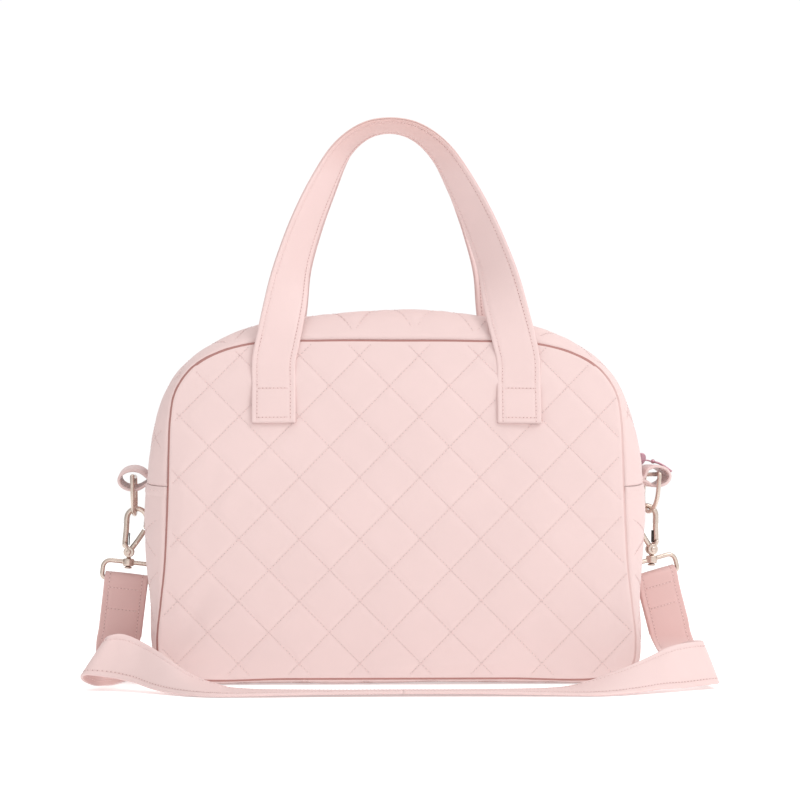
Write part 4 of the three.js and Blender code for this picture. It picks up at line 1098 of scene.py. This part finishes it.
def handle_rows(name):
    """Middle and width along one handle, from its left foot over the top to its right foot."""
    handle = HANDLES[name]
    side, (apex_x, apex_z, apex_depth), lift = handle["side"], handle["apex"], handle["lift"]
    out = HANDLE_CLEARANCE + HANDLE_THICKNESS / 2
    top = HANDLE_PATH[-1][1]

    def share(z):
        return max(0.0, (z - HANDLE_STRAIGHT) / (apex_z - HANDLE_STRAIGHT))

    def depth(z):
        start = float(seam_depth(min(z, HANDLE_STRAIGHT))) + out
        return start + (apex_depth - start) * share(z)

    def leg(sign):
        rows = []
        for x, z, twist in HANDLE_PATH:
            centre = apex_x * share(z)
            raised = z + lift * max(0.0, (z - HANDLE_STRAIGHT) / (top - HANDLE_STRAIGHT))
            rows.append((sign * x + centre, raised, twist))
        return rows

    rows = [*leg(-1), (apex_x, apex_z, 80), *leg(1)[::-1]]
    curve = catmull([(x, side * depth(z), z, twist) for x, z, twist in rows], 9)
    middle, twist = curve[:, :3], np.radians(np.maximum(curve[:, 3], 0))
    tangent = unit(np.gradient(middle, axis=0))
    outward = unit(np.stack([-tangent[:, 2], np.zeros(len(tangent)), tangent[:, 0]], -1))
    towards = np.tile([0.0, side, 0.0], (len(tangent), 1))
    towards = unit(towards - tangent * np.sum(towards * tangent, 1, keepdims=True))
    width = outward * np.cos(twist)[:, None] + towards * np.sin(twist)[:, None]
    return middle, width * HANDLE_WIDTH


def add_handle(name):
    side = HANDLES[name]["side"]
    middle, width = handle_rows(name)
    heights = np.linspace(HANDLE_FOOT, HANDLE_BOX_TOP - 1.5, 16)
    patch_out = 1.0 + HANDLE_THICKNESS / 2
    feet = []
    for sign in (-1, 1):
        x = np.full(len(heights), sign * 100.0)
        local = panel_lift(x, heights, side)
        ease = smoothstep(heights, HANDLE_BOX_TOP - 8, HANDLE_BOX_TOP + 2)
        lift = (local + patch_out - 1.1) * (1 - ease) + (HANDLE_CLEARANCE + HANDLE_THICKNESS / 2) * ease
        lift = np.maximum(lift, local + HANDLE_THICKNESS / 2 - 0.6)
        feet.append(np.stack([x, side * (seam_depth(heights) + lift), heights], -1))
    left_width = np.tile(width[0], (len(heights), 1))
    right_width = np.tile(width[-1], (len(heights), 1))
    middle = np.concatenate([feet[0], middle[1:-1], feet[1][::-1]])
    width = np.concatenate([left_width, width[1:-1], right_width])
    path = resample(np.concatenate([middle, width], 1), 2.2)
    middle, width = path[:, :3], path[:, 3:]
    body = f"{name}_handle"
    replaced = [body, f"{body}_end_left", f"{body}_end_right"]
    slot, puff = "handle_leather", 0.25
    points, faces = band(middle, width, HANDLE_THICKNESS, 28, [EDGE_ROW], puff, True)
    strap = make(f"{name}_carry_handle", points, faces, MATERIALS[slot], slot, None, replaced)
    last = len(middle) - 1
    boxes = [2, 13, last - 2, last - 13]  # the ends of the sewn boxes at both feet
    sewing = sew(f"{name}_handle_topstitch", middle, width, HANDLE_THICKNESS, boxes, puff, slot)
    for obj in (strap, sewing):
        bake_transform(obj)


# ---- Hardware at each side ----
def hang(side, leans=True):
    """From x away from the bag with the ring's bar at the origin, to the side's own place."""
    data = SIDES[side]
    place = translation(data["sign"] * data["tab_x"], 0, data["tab_z"] + RING_BAR_LIFT)
    place = place @ turn("Z", data["turn"]) @ np.diag([data["sign"], 1, 1, 1])
    return place @ turn("Y", -data["lean"]) if leans else place


def tilt(side):
    return translation(BARREL_X, 0, LOOP_BAR_Z) @ turn("Y", -SIDES[side]["tilt"]) @ translation(0, 0, -LOOP_BAR_Z)


def add_tab(name):
    side = SIDES[name]
    neck_x = TAB_NECK_X + TAB_WIDTH / 2 * math.sin(math.radians(side["turn"])) - side["tab_x"]
    neck_z = TAB_SEAM - side["tab_z"]
    rx, rz = TAB_RADII[0] - WALL / 2, TAB_RADII[1] - WALL / 2
    rows = [(neck_x - 5, neck_z + 1.2), (neck_x, neck_z + 1.2)]
    rows += [(rx * math.cos(a), rz * math.sin(a)) for a in np.radians(np.arange(140, -141, -20))]
    rows += [(neck_x, neck_z - 1.2), (neck_x - 5, neck_z - 1.2)]
    middle = resample(catmull([(x, 0, z - RING_BAR_LIFT) for x, z in rows], 6), 1.4)
    width = np.tile([0.0, TAB_WIDTH, 0.0], (len(middle), 1))
    place = hang(name, False)
    place[2, :] += TAB_DROOP[name] * np.array([0, 1, 0, 0])
    part = moved(band(middle, width, WALL + 0.4, 20, [3.5], 0.1), place)
    make(f"strap_tab_{name}", *part, MATERIALS["tab_leather"], "tab_leather", ROOT, [f"tab_{name}"])
    centres, along, out = band_rows(middle, width, WALL, (-TAB_ROW, TAB_ROW))
    turned = place[:3, :3]
    stitches(
        f"strap_tab_stitching_{name}", centres @ turned.T + place[:3, 3], along @ turned.T, out @ turned.T,
        "tab_leather", ROOT, TOPSTITCH_LENGTH, TOPSTITCH_RADIUS,
    )


def add_ring(name):
    shoulder = RING_DROP - RING_HALF
    rows = [(RING_HALF * y, 0.0) for y in (-0.9, -0.45, 0, 0.45, 0.9)] + [(RING_HALF, -1.6)]
    rows += [
        (RING_HALF * math.cos(a), -shoulder - RING_HALF * math.sin(a)) for a in np.radians(np.arange(0, 181, 18))
    ]
    rows.append((-RING_HALF, -1.6))
    path = catmull([(0, y, z) for y, z in rows], 8, True)
    part = moved(tube(path, RING_WIRE, 24, True), hang(name) @ turn("Y", RING_LEAN))
    make(f"dring_{name}_wire", *part, MATERIALS["rose_nickel"], "rose_nickel", f"dring_{name}", [f"dring_{name}"])


def hook_parts():
    rows = [(3.9, -57.5), (3.9, -52), (HOOK_ARM_X, -46), (HOOK_ARM_X, -40)]
    angles = np.radians(np.arange(0, 181, 20))
    rows += [(BOW_X + BOW_RADIUS * math.cos(a), BOW_Z + BOW_RADIUS * math.sin(a)) for a in angles]
    rows.append((BOW_X - BOW_RADIUS + 0.4, HOOK_NOSE_Z))
    path = catmull([(x, 0, z) for x, z in rows], 6)
    share = np.linspace(0, 1, len(path))
    bow = tube(path, HOOK_WIRE * (1.12 - 0.2 * share), 20)
    parts = [bow]
    for sign in (-1, 1):
        cheek = disc(BARREL_RADIUS, 0.95, (BARREL_X, sign * 3.05, BARREL_Z), (0, 1, 0), 0.35)
        link = tube([(BARREL_X + 0.6, sign * 3.0, BARREL_Z + 1), (3.9, sign * 2.2, -56.5)], [1.5, 1.9], 14)
        root = tube([(BARREL_X, sign * 3.0, BARREL_Z - 2), (BARREL_X, sign * 1.2, BARREL_Z - 4.7)], [1.6, 1.7], 14)
        parts += [cheek, link, root]
    neck = [(0.0, 2.0), (3.4, 1.95), (7.6, 1.9), (7.9, 1.9), (7.95, 3.0), (8.3, 3.35), (9.0, 3.3), (9.4, 2.6)]
    parts.append(lathe(neck, (BARREL_X, 0, BARREL_Z - 4.4), (0, 0, -1), 28))
    return parts


def gate_parts():
    tip = np.array([GATE_TIP[0] - BARREL_X, 0, GATE_TIP[1] - BARREL_Z])
    reach = np.linalg.norm(tip)
    lean = math.degrees(math.atan2(tip[0], tip[2]))
    place = translation(BARREL_X, 0, BARREL_Z) @ turn("Y", lean)
    rows = [(0, 0, 1.5), (-0.2, 0, 6), (-0.35, 0, 12), (-0.2, 0, reach - 3), (0.1, 0, reach - 0.6)]
    middle = catmull(np.array(rows, float), 6)
    width = np.tile([0.0, 2 * GATE_HALF, 0.0], (len(middle), 1))
    lever = band(middle, width, GATE_WIDTH + 1.1, 5)
    thumb = tube([(-1.5, -0.9, 9.5), (-1.7, 0.9, 9.5)], 0.95, 12)
    eye = disc(GATE_EYE, GATE_HALF - 0.05, (0, 0, 0), (0, 1, 0), 0.3)
    return [moved(part, place) for part in (lever, thumb, eye)]


def loop_parts(name):
    low, high = LOOP_BAR_Z - LOOP_HEIGHT, LOOP_BAR_Z
    corner, shoulder = 3.2, 6.0
    rows = []
    for cx, cz, radius, start in (
        (LOOP_HALF - corner, low + corner, corner, -90), (LOOP_HALF - shoulder, high - shoulder, shoulder, 0),
        (-LOOP_HALF + shoulder, high - shoulder, shoulder, 90), (-LOOP_HALF + corner, low + corner, corner, 180),
    ):
        angles = np.radians(start + np.arange(0, 91, 15))
        rows += [(cx + radius * math.cos(a), 0, cz + radius * math.sin(a)) for a in angles]
    rows = np.array(rows)
    path = resample(np.concatenate([rows, rows[:1]]), 1.6)[:-1]
    ring = tube(path, LOOP_WIRE, 20, True)
    outer, bore = COLLAR_RADIUS, 2.3
    section = [
        (0, bore + 0.2), (0, outer - 0.8), (0.4, outer - 0.2), (1.2, outer), (5.2, outer), (6.0, outer - 0.2),
        (6.4, outer - 0.8), (6.4, bore + 0.2), (6.2, bore), (0.2, bore),
    ]
    collar = lathe(section, (BARREL_X, 0, COLLAR_TOP), (0, 0, -1), 32, True)
    return [moved(ring, tilt(name)), collar]


def rivet_parts():
    half = BARREL_HALF + 1.1
    dome = [(-half, 0.5), (-half + 0.1, 1.4), (-half + 0.45, 2.0), (-half + 0.8, 2.1)]
    profile = [*dome, (-half + 0.82, 1.2), (half - 0.82, 1.2), *[(-a, r) for a, r in dome[::-1]]]
    return lathe(profile, (BARREL_X, 0, BARREL_Z), (0, 1, 0), 24)


def add_hardware(name):
    place, slot = hang(name), "rose_nickel"
    for piece, parts, body, node, voxel, easing in (
        ("snap_hook", hook_parts(), "hook", "hook", 0.32, 5),
        ("snap_gate", gate_parts(), "gate", "hook_gate", 0.28, 3),
        ("swivel_loop", loop_parts(name), "clip", "strap_loop", 0.34, 3),
    ):
        parts = [moved(part, place) for part in parts]
        cast(f"{piece}_{name}", parts, slot, f"{body}_{name}", [f"{node}_{name}"], voxel, easing)
    rivet = moved(rivet_parts(), place)
    make(f"snap_rivet_{name}", *rivet, MATERIALS[slot], slot, f"hook_{name}", [f"hook_rivet_{name}"], 40)


# ---- Shoulder strap ----
def add_strap(name):
    """Half of the strap: along the floor, up to the loop, round its bar and back down, sewn to itself."""
    rows = STRAP_ROUTE[: STRAP_MIDDLE_ROW + 1][::-1] if name == "left" else STRAP_ROUTE[STRAP_MIDDLE_ROW:]
    route = np.array(rows, float)
    route[:, 3:] = unit(route[:, 3:])
    place = hang(name) @ tilt(name) @ translation(0, 0, LOOP_BAR_Z)
    across = place[:3, 0] / np.linalg.norm(place[:3, 0])
    if np.dot(across, route[-1, 3:]) < 0:
        across = -across
    eye_z, layer, wrap = -LOOP_HEIGHT, 1.35, LOOP_WIRE + 0.3 + STRAP_THICKNESS / 2
    local = [(-layer, eye_z - d) for d in (42, 34, 26, 18)]
    local += [(-layer - 0.5, eye_z - 10), (-wrap + 0.3, eye_z - 4)]
    local += [(-wrap * math.cos(a), eye_z + (wrap + 1.3) * math.sin(a)) for a in np.radians(np.arange(0, 181, 30))]
    local += [(wrap - 0.3, eye_z - 4), (layer + 0.5, eye_z - 10)]
    local += [(layer, eye_z - d) for d in (18, 26, 34, 42, 46)]
    up = np.array([(place @ np.array([0, y, z, 1]))[:3] for y, z in local])
    sewn = np.concatenate([up, np.tile(across, (len(up), 1))], 1)
    path = resample(catmull(np.concatenate([route, sewn]), 8), 2.0)
    middle, width = path[:, :3], unit(path[:, 3:]) * STRAP_WIDTH
    slot, puff, columns = "strap_leather", 0.2, 24
    points, faces = band(middle, width, STRAP_THICKNESS, columns, [EDGE_ROW], puff)
    replaced = ["shoulder_strap", f"strap_end_{name}"]
    strap = make(f"shoulder_strap_{name}", points, faces, MATERIALS[slot], slot, None, replaced)
    # Round a section come the upper face's columns, five of the edge, the lower face's and five more.
    column = np.arange(len(faces)) % (len(points) // len(middle))
    first = 0 if name == "left" else columns + 5
    paint(strap, STRAP_BACK, (column >= first) & (column < first + columns))
    fold = int(np.argmax(middle[:, 2] * (np.abs(middle[:, 1]) < 12)))
    seams = [fold - 7, fold - 16, fold + 7, fold + 16, len(middle) - 3]
    sewing = sew(f"shoulder_strap_stitching_{name}", middle, width, STRAP_THICKNESS, seams, puff, slot)
    for obj in (strap, sewing):
        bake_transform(obj)


# ---- Pieces kept from the CAD ----
def dress_nodes():
    slots = {row["node"]: row["material_slot"] for row in frame["record"]["subparts"]}
    for node, obj in frame["nodes"].items():
        obj.data.materials.clear()
        obj.data.materials.append(MATERIALS[slots[node]])


def add_floor():
    s = Shader("pale_floor", 0.9, Emission_Color=(1, 1, 1, 1), Emission_Strength=0.3)
    s.color(s.span(s.noise(3, 2), 0.3, 0.7), (0.93, 0.93, 0.93), (0.96, 0.96, 0.96))
    mesh = bpy.data.meshes.new("floor")
    corners = [(x * FLOOR_SIZE, y * FLOOR_SIZE, 0) for x, y in ((-1, -1), (1, -1), (1, 1), (-1, 1))]
    mesh.from_pydata(corners, [], [(0, 1, 2, 3)])
    mesh.materials.append(s.material)
    floor = bpy.data.objects.new("floor", mesh)
    floor.location = (0, 0, -FLOOR_DROP)
    bpy.context.collection.objects.link(floor)


dress_nodes()
add_floor()
for panel_name, panel_side in (("front", -1), ("rear", 1)):
    add_panel(panel_name, panel_side)
add_gussets()
add_zip_teeth()
add_slider()
for handle_name in HANDLES:
    add_handle(handle_name)
for side_name in SIDES:
    add_tab(side_name)
    add_ring(side_name)
    add_hardware(side_name)
    add_strap(side_name)
